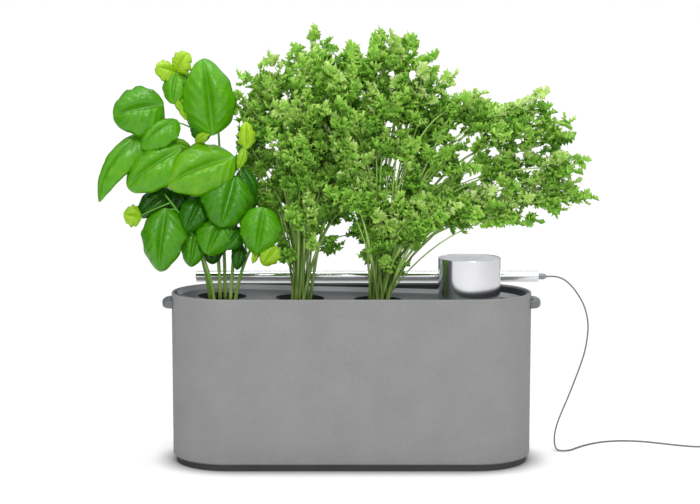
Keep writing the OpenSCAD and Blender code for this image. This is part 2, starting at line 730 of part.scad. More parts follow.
middle_inset = mast_wall + mast_gap;
inner_inset = 2 * middle_inset;
module mast_outer_bush() { guide_bush(mast_d, 0, middle_d, middle_inset, mast_top); }
module mast_middle_tube() {
    color("#cfd2d5") keyed_tube(middle_d, middle_inset, mast_low + 4, middle_top);
}
module mast_middle_bush() { guide_bush(middle_d, middle_inset, inner_d, inner_inset, middle_top); }

head_w = 16;
lamp_fit = 0.1;
module mast_inner_rod() {
    color("#d6d8db") keyed_tube(inner_d, inner_inset, mast_low + 8, lamp_z - head_r + 1.2, 1.2);
}

// Ring that grips the lamp tube on top of the mast
module lamp_collar() {
    color("#c9ccd0") difference() {
        translate([mast_x - head_w / 2, lamp_y, lamp_z]) rotate([0, 90, 0]) cylinder(head_w, r = head_r);
        translate([mast_x - head_w, lamp_y, lamp_z]) rotate([0, 90, 0])
            cylinder(2 * head_w, d = lamp_d + 2 * lamp_fit);
        // socket for the top of the inner rod
        translate([mast_x, lamp_y, lamp_z - head_r - bite]) linear_extrude(1.7 + 0.1)
            keyed(inner_d + 0.1, flat_y - inner_inset + 0.05);
        at_collar_screw() translate([0, 0, lamp_d / 2]) cylinder(head_r, d = 2.2, $fn = 32);
    }
}

collar_screw_angle = 20;
module at_collar_screw() {
    translate([mast_x, lamp_y, lamp_z]) rotate([collar_screw_angle, 0, 0]) children();
}
// Small screw whose tip runs in a slot of the lamp tube and stops the tilt
module collar_screw() {
    color("#9a9a9a") at_collar_screw() union() {
        translate([0, 0, lamp_d / 2 - 0.7]) cylinder(head_r - lamp_d / 2 + 1.2, d = 2, $fn = 32);
        translate([0, 0, head_r]) cylinder(0.8, d = 3.4, $fn = 32);
    }
}

bracket_t = 3;
module bracket(z) {
    wing = bracket_screw_dx + 5;
    color("#55595d") translate([mast_x, 0, z - bracket_h / 2]) difference() {
        union() {
            translate([-wing, end_r, 0]) cube([2 * wing, bracket_t, bracket_h]);
            translate([-mast_d / 2 - 1.6, end_r, 0]) cube([mast_d + 3.2, lamp_y - end_r, bracket_h]);
            translate([0, lamp_y, 0]) cylinder(bracket_h, d = mast_d + 3.2);
        }
        translate([0, lamp_y, -bite]) linear_extrude(bracket_h + 2 * bite)
            keyed(mast_d + bracket_gap, flat_y + bracket_gap / 2);
        translate([half - mast_x, 0, -bite]) cylinder(bracket_h + 2 * bite, r = end_r, $fn = 128);
        for (dx = [-bracket_screw_dx, bracket_screw_dx])
            translate([dx, end_r - bite, bracket_h / 2]) rotate([-90, 0, 0])
                cylinder(bracket_t + 2 * bite, d = screw_d + 2 * screw_fit, $fn = 32);
    }
}
module upper_bracket() { bracket(bracket_z[1]); }
module lower_bracket() { bracket(bracket_z[0]); }

// Screws from inside the casing, each with its nut behind the bracket wing
module bracket_screws() {
    color("#9a9a9a") at_bracket_screws() union() {
        screw(bracket_screw_l - 2);
        translate([0, 0, casing_wall + bracket_t - 0.2]) cylinder(2.2, d = 5.4, $fn = 6);
    }
}

// -------------------------------------------------------------------- lamp

tube_wall = 0.8;
cap_len = 3;
tilt_low = -60;
tilt_high = 20;
tube_x0 = lamp_x0 + cap_len;
tube_x1 = lamp_x1 - cap_len;

// Turns a part built along +Z to lie along +X on the lamp's axis, with its own
// +X side down
module along_lamp(x) {
    translate([x, lamp_y, lamp_z]) rotate([0, 90, 0]) children();
}

module tube_section(d_out, d_in) {
    difference() {
        circle(d = d_out, $fn = 96);
        circle(d = d_in, $fn = 96);
    }
}

module lamp_tube() {
    color("#d4d5d7") difference() {
        along_lamp(tube_x0) linear_extrude(tube_x1 - tube_x0) difference() {
            tube_section(lamp_d, lamp_d - 2 * tube_wall);
            translate([0, -slot_w / 2]) square([lamp_d, slot_w]);
        }
        // slot for the tilt stop screw
        translate([mast_x - 1.3, lamp_y, lamp_z]) rotate([0, 90, 0])
            rotate([0, 0, 180 - collar_screw_angle - tilt_high - 14])
            rotate_extrude(angle = tilt_high - tilt_low + 28, $fn = 96)
                translate([lamp_d / 2 - tube_wall - 0.1, 0]) square([tube_wall + 1, 2.6]);
    }
}

module lamp_diffuser() {
    lip = 0.1;
    color("#f4f4f0") along_lamp(tube_x0) linear_extrude(tube_x1 - tube_x0) intersection() {
        tube_section(lamp_d, lamp_d - 2 * tube_wall);
        translate([0, -slot_w / 2 + lip]) square([lamp_d, slot_w - 2 * lip]);
    }
}

board_w = 9;
board_t = 1;
board_up = 2;
board_room = 2;
module led_board() {
    color("#e8e8e8") translate([tube_x0 + board_room, lamp_y - board_w / 2, lamp_z + board_up])
        cube([tube_x1 - tube_x0 - 2 * board_room, board_w, board_t]);
}

chip = 3;
chip_t = 0.8;
module led_chips() {
    pitch = (tube_x1 - tube_x0 - 30) / (chip_count - 1);
    color("#f2e8a0") for (i = [0:chip_count - 1])
        translate([tube_x0 + 15 + i * pitch - chip / 2, lamp_y - chip / 2, lamp_z + board_up - chip_t])
            cube([chip, chip, chip_t]);
}

spigot_gap = 0.1;
module end_cap(outer_x, inward) {
    translate([outer_x, lamp_y, lamp_z]) rotate([0, inward * 90, 0]) union() {
        cylinder(0.6, d1 = lamp_d - 1.2, d2 = lamp_d);
        translate([0, 0, 0.6]) cylinder(cap_len - 0.6, d = lamp_d);
        translate([0, 0, cap_len - bite]) cylinder(1.6 + bite, d = lamp_d - 2 * tube_wall - 2 * spigot_gap);
    }
}

plug_d = 7;
plug_l = 9.5;
pin_d = 3;
module left_end_cap() { color("#c9cbce") end_cap(lamp_x0, 1); }
module right_end_cap() {
    color("#c9cbce") difference() {
        end_cap(lamp_x1, -1);
        translate([lamp_x1 - cap_len - 2 * bite - 2, lamp_y, lamp_z]) rotate([0, 90, 0])
            cylinder(cap_len + 4 * bite + 2, d = pin_d + 0.2, $fn = 32);
    }
}

// Round plug of the lead, with its pin in the socket of the end cap
module lamp_plug() {
    color("#8c8f93") translate([lamp_x1, lamp_y, lamp_z]) rotate([0, 90, 0]) union() {
        translate([0, 0, -4]) cylinder(4 + bite, d = pin_d, $fn = 32);
        cylinder(plug_l - 3, d = plug_d);
        translate([0, 0, plug_l - 3]) cylinder(3, d1 = plug_d, d2 = cord_d + 1.2);
    }
}

// -------------------------------------------------------------------- lead

// Route of the lead from the lamp plug, over its hanging bow, down to the
// table and along it to the coil
cord_route = [
    [225, 75, 195.5], [231, 75, 195.6], [238, 75, 194.8], [246, 73, 191.5], [254, 70, 184.5],
    [261, 67, 175], [266.5, 64, 165], [270, 61, 154], [271.5, 57, 141], [270, 53, 125.5],
    [266.5, 49, 110], [261, 46, 94], [254.5, 43, 77.5], [247.5, 40, 60.5], [240.5, 37.5, 44.5],
    [235, 36, 30], [232.5, 35.5, 18], [232.5, 34.5, 8.5], [234.5, 32.5, 2.6], [238.5, 31, 0.9],
    [245, 30.5, 0.9], [252, 35.5, 0.9], [261, 47, 0.9], [273, 60, 0.9], [289, 72, 0.9],
    [307, 78.5, 0.9], [325, 79, 0.9], [342, 75, 0.9], [360, 66, 0.9], [380, 56, 0.9],
    [400, 49.6, 0.9], [412, 46.9, 0.9], [421, 46.3, 0.9], [426, 46.6, 0.9]];
// Tail from the coil to the plug at the far end
tail_route = [[422, 75.5, 0.9], [427, 75.6, 0.9], [434, 75.2, 1.2], [441, 73.6, 2.4], [447, 72.3, 3.4],
    [453, 72, 3.5], [458, 72, 3.5]];
cord_sides = 6;
cord_step = 2.6 * cord_d;

coil_x = 424;
coil_layers = 4;
coil_y = 61;
coil_w = coil_layers * cord_d;
coil_h = coil_layers * cord_d;

// Splits a route so that a ring lies every step along it, with smooth bends
function spline(p, i, t) = let (n = len(p) - 1, a = p[max(i - 1, 0)], b = p[i], c = p[min(i + 1, n)],
    d = p[min(i + 2, n)])
    0.5 * (2 * b + (c - a) * t + (2 * a - 5 * b + 4 * c - d) * t * t + (3 * b - a - 3 * c + d) * t * t * t);
function rings_of(route) = concat(
    [for (i = [0:len(route) - 2]) let (parts = max(1, round(norm(route[i + 1] - route[i]) / cord_step / 1.6)))
        for (k = [0:parts - 1]) spline(route, i, k / parts)],
    [route[len(route) - 1]]);

// Round lead along a route, never below the table
module lead(route) {
    p = rings_of(route);
    n = len(p) - 1;
    points = [for (i = [0:n]) let (d = unit(p[min(i + 1, n)] - p[max(i - 1, 0)]),
        s = unit(cross(d, [0.02, 1, 0.03])), u = cross(s, d)) for (k = [0:cord_sides - 1])
        let (a = (k + 0.5) * 360 / cord_sides, q = p[i] + cord_d / 2 * (s * cos(a) + u * sin(a)))
        [q[0], q[1], max(q[2], 0)]];
    faces = concat(
        [[for (k = [cord_sides - 1:-1:0]) k]],
        [for (i = [0:n - 1], k = [0:cord_sides - 1]) let (m = (k + 1) % cord_sides)
            [i * cord_sides + m, (i + 1) * cord_sides + m, (i + 1) * cord_sides + k, i * cord_sides + k]],
        [[for (k = [0:cord_sides - 1]) n * cord_sides + k]]);
    polyhedron(points, faces);
}

module cord_run() {
    color("#7a7a7a") {
        lead(cord_route);
        lead(tail_route);
    }
}

module cord_coil() {
    color("#7a7a7a") translate([coil_x, coil_y, 0]) rotate_extrude()
        translate([coil_d / 2 - coil_w / 2, 0]) square([coil_w, coil_h]);
}

// Tie over one side of the coil, bent round with it
tie_t = 0.8;
tie_angle = 28;
module coil_tie() {
    gap = 0.1;
    color("#2a2a2a") translate([coil_x, coil_y, 0]) rotate([0, 0, -tie_angle / 2])
        rotate_extrude(angle = tie_angle, $fn = 96) translate([coil_d / 2, 0]) difference() {
            translate([-coil_w / 2 - tie_t - gap, 0]) square([coil_w + 2 * (tie_t + gap), coil_h + tie_t + gap]);
            translate([-coil_w / 2 - gap, -bite]) square([coil_w + 2 * gap, coil_h + gap + bite]);
        }
}

// Flat plug of the lead's far end: a moulded grip and a metal shell
usb_x = 458;
usb_y = 72;
usb_grip = [22, 14, 7];
usb_shell = [12, 12, 4.5];
module usb_plug() {
    color("#6f7276") translate([usb_x, usb_y - usb_grip[1] / 2, 0]) union() {
        cube(usb_grip);
        translate([usb_grip[0] - bite, (usb_grip[1] - usb_shell[1]) / 2, (usb_grip[2] - usb_shell[2]) / 2])
            cube(usb_shell + [bite, 0, 0]);
    }
}

// ---------------------------------------------------------------- assembly

outer_casing();
base_plate();
rubber_feet();
base_screws();
left_handle();
right_handle();
handle_screws();
tank();
deck();
deck_seal();
float_cage();
level_float();
filler_cap();
cap_top();
left_net_pot();
middle_net_pot();
right_net_pot();
left_grow_plug();
middle_grow_plug();
right_grow_plug();
basil_plant();
middle_parsley();
right_parsley();
upper_bracket();
lower_bracket();
bracket_screws();
mast_outer_tube();
mast_outer_bush();
mast_middle_tube();
mast_middle_bush();
mast_inner_rod();
lamp_collar();
collar_screw();
lamp_tube();
lamp_diffuser();
led_board();
led_chips();
left_end_cap();
right_end_cap();
lamp_plug();
cord_run();
cord_coil();
coil_tie();
usb_plug();
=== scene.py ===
"""Looks of the countertop hydroponic garden: herbs, lead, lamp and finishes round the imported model."""
import math
import random

import bmesh
import bpy
from mathutils import Matrix, Vector
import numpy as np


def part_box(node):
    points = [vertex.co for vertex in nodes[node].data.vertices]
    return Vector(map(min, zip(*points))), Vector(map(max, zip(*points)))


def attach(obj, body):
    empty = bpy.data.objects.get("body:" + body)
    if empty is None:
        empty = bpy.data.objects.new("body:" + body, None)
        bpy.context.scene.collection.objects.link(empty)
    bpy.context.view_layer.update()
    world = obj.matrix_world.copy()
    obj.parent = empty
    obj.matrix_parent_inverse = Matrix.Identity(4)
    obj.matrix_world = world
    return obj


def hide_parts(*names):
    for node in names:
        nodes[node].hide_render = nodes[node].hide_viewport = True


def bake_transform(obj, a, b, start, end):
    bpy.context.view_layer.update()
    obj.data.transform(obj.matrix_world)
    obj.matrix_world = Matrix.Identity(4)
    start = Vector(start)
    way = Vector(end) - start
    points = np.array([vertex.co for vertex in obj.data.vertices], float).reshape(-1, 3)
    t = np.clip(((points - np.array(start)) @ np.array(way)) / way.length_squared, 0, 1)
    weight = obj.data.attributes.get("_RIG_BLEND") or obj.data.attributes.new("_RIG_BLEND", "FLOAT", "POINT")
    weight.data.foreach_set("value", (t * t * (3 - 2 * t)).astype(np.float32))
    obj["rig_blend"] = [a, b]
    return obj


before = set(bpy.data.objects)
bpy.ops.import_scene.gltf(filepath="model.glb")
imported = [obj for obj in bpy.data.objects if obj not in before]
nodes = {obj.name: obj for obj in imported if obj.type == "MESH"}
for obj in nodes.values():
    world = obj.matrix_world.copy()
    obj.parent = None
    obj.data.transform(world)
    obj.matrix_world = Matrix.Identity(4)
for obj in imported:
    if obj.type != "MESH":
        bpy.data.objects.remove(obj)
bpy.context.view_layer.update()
MM = 0.001

# ------------------------------------------------------------------ camera

CAMERA_PLACE = Vector((-1.6, -2048.7, 502.0)) * MM
CAMERA_DOWN = math.radians(7.46)
CAMERA_LENS = 95.7


def make_camera():
    camera = bpy.data.objects.new("camera", bpy.data.cameras.new("camera"))
    camera.data.lens = CAMERA_LENS
    camera.data.sensor_width = 36
    camera.data.clip_end = 100
    camera.location = CAMERA_PLACE
    camera.rotation_euler = (math.pi / 2 - CAMERA_DOWN, 0, 0)
    bpy.context.scene.collection.objects.link(camera)
    bpy.context.scene.camera = camera


make_camera()

# --------------------------------------------------------------- materials


def srgb(code):
    """Linear red, green, blue and alpha of an sRGB hex code."""
    parts = [int(code[i:i + 2], 16) / 255 for i in (1, 3, 5)]
    return tuple(c / 12.92 if c <= 0.04045 else ((c + 0.055) / 1.055) ** 2.4 for c in parts) + (1.0,)


def add(tree, kind, inputs=None, **settings):
    """Adds a shader node, with its settings, and its inputs set to a value or linked to a socket."""
    made = tree.nodes.new("ShaderNode" + kind)
    for name, value in settings.items():
        setattr(made, name, value)
    for name, value in (inputs or {}).items():
        if isinstance(value, bpy.types.NodeSocket):
            tree.links.new(value, made.inputs[name])
        else:
            made.inputs[name].default_value = value
    return made


def ramp(tree, factor, stops, **settings):
    """A colour ramp from (place, hex) stops, driven by factor."""
    made = add(tree, "ValToRGB", {"Fac": factor})
    band = made.color_ramp
    for name, value in settings.items():
        setattr(band, name, value)
    while len(band.elements) < len(stops):
        band.elements.new(0.5)
    for element, (place, code) in zip(band.elements, stops):
        element.position = place
        element.color = srgb(code)
    return made.outputs["Color"]


def new_material(name, **sockets):
    """A material with its Principled shader's uniform values set; returns it, its tree and the shader."""
    material = bpy.data.materials.new(name)
    material.use_nodes = True
    tree = material.node_tree
    shader = tree.nodes["Principled BSDF"]
    for socket, value in sockets.items():
        shader.inputs[socket.replace("_", " ")].default_value = value
    return material, tree, shader


def bump(tree, shader, height, strength, distance_mm):
    """Relief on the surface from a height socket."""
    made = add(tree, "Bump", {"Height": height, "Strength": strength, "Distance": distance_mm * MM})
    tree.links.new(made.outputs["Normal"], shader.inputs["Normal"])


def object_place(tree):
    return add(tree, "TexCoord").outputs["Object"]


def mineral_composite():
    # Mineral-filled polymer with a cast, matte skin: faint cloudy patches 30 to 60 mm across, with a fine
    # sandy tooth that catches soft light
    material, tree, shader = new_material("mineral_composite", Roughness=0.72, Specular_IOR_Level=0.3)
    place = object_place(tree)
    cloud = add(tree, "TexNoise", {"Vector": place, "Scale": 22.0, "Detail": 5.0, "Roughness": 0.6})
    grain = add(tree, "TexNoise", {"Vector": place, "Scale": 900.0, "Detail": 2.0})
    colour = ramp(tree, cloud.outputs["Fac"], [(0.3, "#909090"), (0.5, "#949494"), (0.72, "#989898")])
    speck = ramp(tree, grain.outputs["Fac"], [(0.35, "#f4f4f4"), (0.65, "#ffffff")])
    mixed = add(tree, "Mix", {"Factor": 1.0, "A": colour, "B": speck}, data_type="RGBA",
                blend_type="MULTIPLY")
    tree.links.new(mixed.outputs["Result"], shader.inputs["Base Color"])
    bump(tree, shader, grain.outputs["Fac"], 0.25, 0.15)
    return material


def moulded_plastic(name, dark, light, roughness, grain_mm=0.6, relief=0.25):
    # Injection-moulded ABS: an even satin skin with a faint spark-eroded texture and slight colour drift
    material, tree, shader = new_material(name, Specular_IOR_Level=0.5)
    place = object_place(tree)
    drift = add(tree, "TexNoise", {"Vector": place, "Scale": 14.0, "Detail": 3.0})
    grain = add(tree, "TexNoise", {"Vector": place, "Scale": 1 / (grain_mm * MM), "Detail": 1.0})
    colour = ramp(tree, drift.outputs["Fac"], [(0.3, dark), (0.7, light)])
    tree.links.new(colour, shader.inputs["Base Color"])
    rough = add(tree, "MapRange", {"Value": drift.outputs["Fac"], "From Min": 0.3, "From Max": 0.7,
                                   "To Min": roughness - 0.04, "To Max": roughness + 0.05})
    tree.links.new(rough.outputs["Result"], shader.inputs["Roughness"])
    bump(tree, shader, grain.outputs["Fac"], relief, 0.04)
    return material


def bright_metal(name, code, roughness, brush=(1, 1, 1), relief=0.05):
    # Polished or drawn metal: reflects the room, with a faint draw line along the piece
    material, tree, shader = new_material(name, Metallic=1.0)
    shader.inputs["Base Color"].default_value = srgb(code)
    stretch = add(tree, "Mapping", {"Vector": object_place(tree), "Scale": brush})
    lines = add(tree, "TexNoise", {"Vector": stretch.outputs["Vector"], "Scale": 1.0, "Detail": 3.0})
    rough = add(tree, "MapRange", {"Value": lines.outputs["Fac"], "To Min": roughness * 0.7,
                                   "To Max": roughness * 1.3})
    tree.links.new(rough.outputs["Result"], shader.inputs["Roughness"])
    bump(tree, shader, lines.outputs["Fac"], relief, 0.02)
    return material


def rubber(name, code):
    # Nitrile rubber: dull, with a fine bloom
    material, tree, shader = new_material(name, Roughness=0.8, Specular_IOR_Level=0.3)
    grain = add(tree, "TexNoise", {"Vector": object_place(tree), "Scale": 700.0, "Detail": 2.0})
    colour = ramp(tree, grain.outputs["Fac"], [(0.3, code), (0.8, "#2b2b2b")])
    tree.links.new(colour, shader.inputs["Base Color"])
    bump(tree, shader, grain.outputs["Fac"], 0.3, 0.05)
    return material


def coir_fibre():
    # Pressed coconut fibre, dark and damp: short strands of many browns
    material, tree, shader = new_material("coir_fibre", Roughness=0.9, Specular_IOR_Level=0.2)
    place = object_place(tree)
    strands = add(tree, "TexNoise", {"Vector": place, "Scale": 520.0, "Detail": 4.0, "Distortion": 1.6})
    crumbs = add(tree, "TexVoronoi", {"Vector": place, "Scale": 380.0})
    colour = ramp(tree, strands.outputs["Fac"], [(0.3, "#17110c"), (0.5, "#33241a"), (0.7, "#5a4230")])
    tree.links.new(colour, shader.inputs["Base Color"])
    both = add(tree, "Math", {0: strands.outputs["Fac"], 1: crumbs.outputs["Distance"]}, operation="ADD")
    bump(tree, shader, both.outputs["Value"], 0.9, 1.2)
    return material


LEAF_TRANSLUCENCE = 0.26
VEIN_SHARE = 0.22
RIB_SHARE = 0.3


def leaf_skin(name, stops, vein, sheen_rough, vein_count, vein_slope):
    # Living leaf: waxy skin over green tissue; the per-vertex tone attribute sets how pale each leaf is,
    # partly from its age and partly as painted light and shade, lighter high up and darker low down and
    # inside the crown, and u, v of the leaf map run along and across it, so the veins follow its growth
    material, tree, shader = new_material(name, Roughness=sheen_rough, Specular_IOR_Level=0.5)
    tone_and_shade = add(tree, "Attribute", attribute_name="tone_and_shade").outputs["Fac"]
    mottle = add(tree, "TexNoise", {"Vector": object_place(tree), "Scale": 120.0, "Detail": 3.0})
    drift = add(tree, "MapRange", {"Value": mottle.outputs["Fac"], "To Min": -0.12, "To Max": 0.12})
    level = add(tree, "Math", {0: tone_and_shade, 1: drift.outputs["Result"]}, operation="ADD")
    colour = ramp(tree, level.outputs["Value"], stops)
    leaf_map = add(tree, "SeparateXYZ", {"Vector": add(tree, "UVMap", uv_map="leaf").outputs["UV"]})
    across = add(tree, "Math", {0: leaf_map.outputs["Y"], 1: 0.5}, operation="SUBTRACT")
    side = add(tree, "Math", {0: across.outputs["Value"]}, operation="ABSOLUTE")
    shear = add(tree, "Math", {0: side.outputs["Value"], 1: -vein_slope, 2: leaf_map.outputs["X"]},
                operation="MULTIPLY_ADD")
    wave = add(tree, "Math", {0: shear.outputs["Value"], 1: vein_count}, operation="MULTIPLY")
    away = add(tree, "Math", {0: wave.outputs["Value"], 1: 1.0}, operation="PINGPONG")
    line = add(tree, "MapRange", {"Value": away.outputs["Value"], "From Min": 0.0, "From Max": 0.14,
                                  "To Min": VEIN_SHARE, "To Max": 0.0})
    rib = add(tree, "MapRange", {"Value": side.outputs["Value"], "From Min": 0.008, "From Max": 0.022,
                                 "To Min": RIB_SHARE, "To Max": 0.0})
    veins = add(tree, "Math", {0: line.outputs["Result"], 1: rib.outputs["Result"]}, operation="MAXIMUM")
    mixed = add(tree, "Mix", {"Factor": veins.outputs["Value"], "A": colour, "B": srgb(vein)},
                data_type="RGBA")
    tree.links.new(mixed.outputs["Result"], shader.inputs["Base Color"])
    bump(tree, shader, mottle.outputs["Fac"], 0.3, 0.8)
    glow = add(tree, "BsdfTranslucent", {"Color": mixed.outputs["Result"]})
    both = add(tree, "MixShader", {0: LEAF_TRANSLUCENCE, 1: shader.outputs["BSDF"], 2: glow.outputs["BSDF"]})
    tree.links.new(both.outputs["Shader"], tree.nodes["Material Output"].inputs["Surface"])
    return material


def stem_skin(name, low, dark, high):
    # Fresh herb stem: smooth and juicy, ribbed lengthwise, paler towards the root
    material, tree, shader = new_material(name, Roughness=0.42, Specular_IOR_Level=0.5)
    place = object_place(tree)
    rise = add(tree, "SeparateXYZ", {"Vector": place})
    level = add(tree, "MapRange", {"Value": rise.outputs["Z"], "From Min": 0.17, "From Max": 0.36})
    streak = add(tree, "Mapping", {"Vector": place, "Scale": (170, 170, 9)})
    mottle = add(tree, "TexNoise", {"Vector": streak.outputs["Vector"], "Scale": 1.0, "Detail": 2.0})
    mixed = add(tree, "Math", {0: mottle.outputs["Fac"], 1: 1.1, 2: level.outputs["Result"]},
                operation="MULTIPLY_ADD")
    tree.links.new(ramp(tree, mixed.outputs["Value"], [(0.3, low), (0.65, dark), (1.1, high)]),
                   shader.inputs["Base Color"])
    ribs = add(tree, "Mapping", {"Vector": place, "Scale": (1500, 1500, 30)})
    lines = add(tree, "TexNoise", {"Vector": ribs.outputs["Vector"], "Scale": 1.0})
    bump(tree, shader, lines.outputs["Fac"], 0.3, 0.2)
    return material


def lead_jacket():
    # Soft PVC jacket: satin grey with a faint surface ripple
    material, tree, shader = new_material("pvc_jacket", Roughness=0.45)
    ripple = add(tree, "TexNoise", {"Vector": object_place(tree), "Scale": 600.0})
    tree.links.new(ramp(tree, ripple.outputs["Fac"], [(0.3, "#6c6e71"), (0.7, "#7b7d80")]),
                   shader.inputs["Base Color"])
    bump(tree, shader, ripple.outputs["Fac"], 0.1, 0.05)
    return material


METAL_ALONG_X = (40, 2500, 2500)
METAL_UP_Z = (2500, 2500, 40)
casing_stone = mineral_composite()
plinth_abs = moulded_plastic("plinth_abs", "#3c3c3c", "#464646", 0.55)
deck_abs = moulded_plastic("deck_abs", "#33373c", "#3c4045", 0.32, relief=0.08)
seal_tpe = moulded_plastic("seal_tpe", "#8a8d92", "#95989c", 0.5)
tank_abs = moulded_plastic("tank_abs", "#303336", "#3b3e41", 0.45)
handle_abs = moulded_plastic("handle_abs", "#6a6d70", "#75787b", 0.4)
pot_polypropylene = moulded_plastic("pot_polypropylene", "#141516", "#202224", 0.4)
cage_polypropylene = moulded_plastic("cage_polypropylene", "#cfcfca", "#dcdcd8", 0.4)
float_polystyrene = moulded_plastic("float_polystyrene", "#d95a22", "#e86c34", 0.5)
bracket_abs = moulded_plastic("bracket_abs", "#505458", "#5b5f64", 0.45)
bush_acetal = moulded_plastic("bush_acetal", "#252729", "#303235", 0.35)
lid_abs = moulded_plastic("lid_abs", "#f0ecfa", "#f5f2fd", 0.4, relief=0.1)
plug_abs = moulded_plastic("plug_abs", "#8e9195", "#9a9da1", 0.35)
diffuser_pmma = moulded_plastic("diffuser_pmma", "#eeeeea", "#f6f6f3", 0.5, relief=0.05)
board_laminate = moulded_plastic("board_laminate", "#e2e3e1", "#ececea", 0.45)
chip_phosphor = moulded_plastic("chip_phosphor", "#e4cf62", "#efdc7a", 0.3)
tie_nylon = moulded_plastic("tie_nylon", "#1c1c1c", "#262626", 0.4)
foot_rubber = rubber("foot_rubber", "#1a1a1a")
chromed_cap = bright_metal("chromed_brass", "#e8e8ec", 0.16, METAL_UP_Z, 0.01)
polished_tube = bright_metal("polished_aluminium", "#e2e3e6", 0.16, METAL_ALONG_X, 0.02)
mast_metal = bright_metal("anodised_aluminium", "#c5c8cc", 0.24, METAL_UP_Z)
screw_steel = bright_metal("zinc_plated_steel", "#a3a5a8", 0.3, (900, 900, 900))
coir = coir_fibre()
# Leaf tone ramps: the dark end is painted shade for leaves low down and inside the crowns, the pale end
# young leaves and painted light on the tops
BASIL_TONES = [(0.0, "#184c02"), (0.3, "#348604"), (0.6, "#62b80a"), (1.0, "#bce62c")]
PARSLEY_TONES = [(0.0, "#5c9a20"), (0.35, "#9bdc42"), (0.7, "#c9f072"), (1.0, "#e8fab2")]
basil_skin = leaf_skin("basil_leaf", BASIL_TONES, "#86cc34", 0.26, 13, 0.7)
parsley_skin = leaf_skin("parsley_leaf", PARSLEY_TONES, "#c6e894", 0.5, 6, 0.4)
basil_stalk = stem_skin("basil_stalk", "#c0d480", "#8cb04a", "#5f9f2c")
parsley_stalk = stem_skin("parsley_stalk", "#a4bc68", "#5f8030", "#a3c866")
jacket = lead_jacket()

FINISHES = {
    "outer_casing": casing_stone, "base_plate": plinth_abs, "rubber_feet": foot_rubber,
    "base_screws": screw_steel, "handle_screws": screw_steel, "tank": tank_abs, "deck": deck_abs,
    "deck_seal": seal_tpe, "float_cage": cage_polypropylene, "level_float": float_polystyrene,
    "filler_cap": chromed_cap, "cap_top": lid_abs,
    "left_net_pot": pot_polypropylene, "middle_net_pot": pot_polypropylene,
    "right_net_pot": pot_polypropylene, "left_grow_plug": coir, "middle_grow_plug": coir,
    "right_grow_plug": coir, "upper_bracket": bracket_abs, "lower_bracket": bracket_abs,
    "bracket_screws": screw_steel, "mast_outer_tube": mast_metal, "mast_outer_bush": bush_acetal,
    "mast_middle_tube": mast_metal, "mast_middle_bush": bush_acetal, "mast_inner_rod": mast_metal,
    "lamp_collar": polished_tube, "collar_screw": screw_steel, "lamp_tube": polished_tube,
    "lamp_diffuser": diffuser_pmma, "led_board": board_laminate, "led_chips": chip_phosphor,
    "left_end_cap": polished_tube, "right_end_cap": polished_tube, "lamp_plug": plug_abs,
    "coil_tie": tie_nylon, "usb_plug": plug_abs,
}


def finish_cad_nodes():
    for name, material in FINISHES.items():
        slots = nodes[name].data.materials
        slots.clear()
        slots.append(material)


finish_cad_nodes()

# ------------------------------------------------------------ mesh helpers


def make_piece(name, bm, materials, smooth=True):
    """A finished mesh object from a bmesh, linked to the scene."""
    mesh = bpy.data.meshes.new(name)
    bm.to_mesh(mesh)
    bm.free()
    for polygon in mesh.polygons:
        polygon.use_smooth = smooth
    piece = bpy.data.objects.new(name, mesh)
    for material in materials:
        mesh.materials.append(material)
    bpy.context.scene.collection.objects.link(piece)
    return piece


def direction_at(path, i):
    return (path[min(i + 1, len(path) - 1)] - path[max(i - 1, 0)]).normalized()


def ring_frame(place, along, side):
    """The turn and the shift that put a flat ring at place, facing along; side keeps it from twisting."""
    x = (side - along * side.dot(along)).normalized()
    y = along.cross(x)
    return Matrix((x, y, along)).transposed().to_4x4(), Matrix.Translation(place)


def tube(bm, path, radii, sides):
    """Round rod drawn along path by extruding a ring from point to point, with closed ends."""
    side = Vector((0.02, 1, 0.03)).normalized()
    turn, shift = ring_frame(path[0], direction_at(path, 0), side)
    now = shift @ turn
    made = bmesh.ops.create_circle(bm, cap_ends=True, segments=sides, radius=radii[0], matrix=now)
    ring = list({e for v in made["verts"] for e in v.link_edges})
    for i in range(1, len(path)):
        side = turn.col[0].to_3d()
        turn, shift = ring_frame(path[i], direction_at(path, i), side)
        new = shift @ turn @ Matrix.Scale(radii[i] / radii[i - 1], 4)
        grown = bmesh.ops.extrude_edge_only(bm, edges=ring)["geom"]
        verts = [g for g in grown if isinstance(g, bmesh.types.BMVert)]
        bmesh.ops.transform(bm, matrix=new @ now.inverted(), verts=verts)
        ring = [g for g in grown if isinstance(g, bmesh.types.BMEdge)]
        now = shift @ turn
    bmesh.ops.edgeloop_fill(bm, edges=ring)


def bow(start, bend, end, count):
    """Points along a smooth curve through a start, a bend and an end."""
    points = []
    for i in range(count + 1):
        t = i / count
        points.append(start.lerp(bend, t).lerp(bend.lerp(end, t), t))
    return points


def taper(first, last, count):
    return [first + (last - first) * i / (count - 1) for i in range(count)]


# -------------------------------------------------------------------- lead

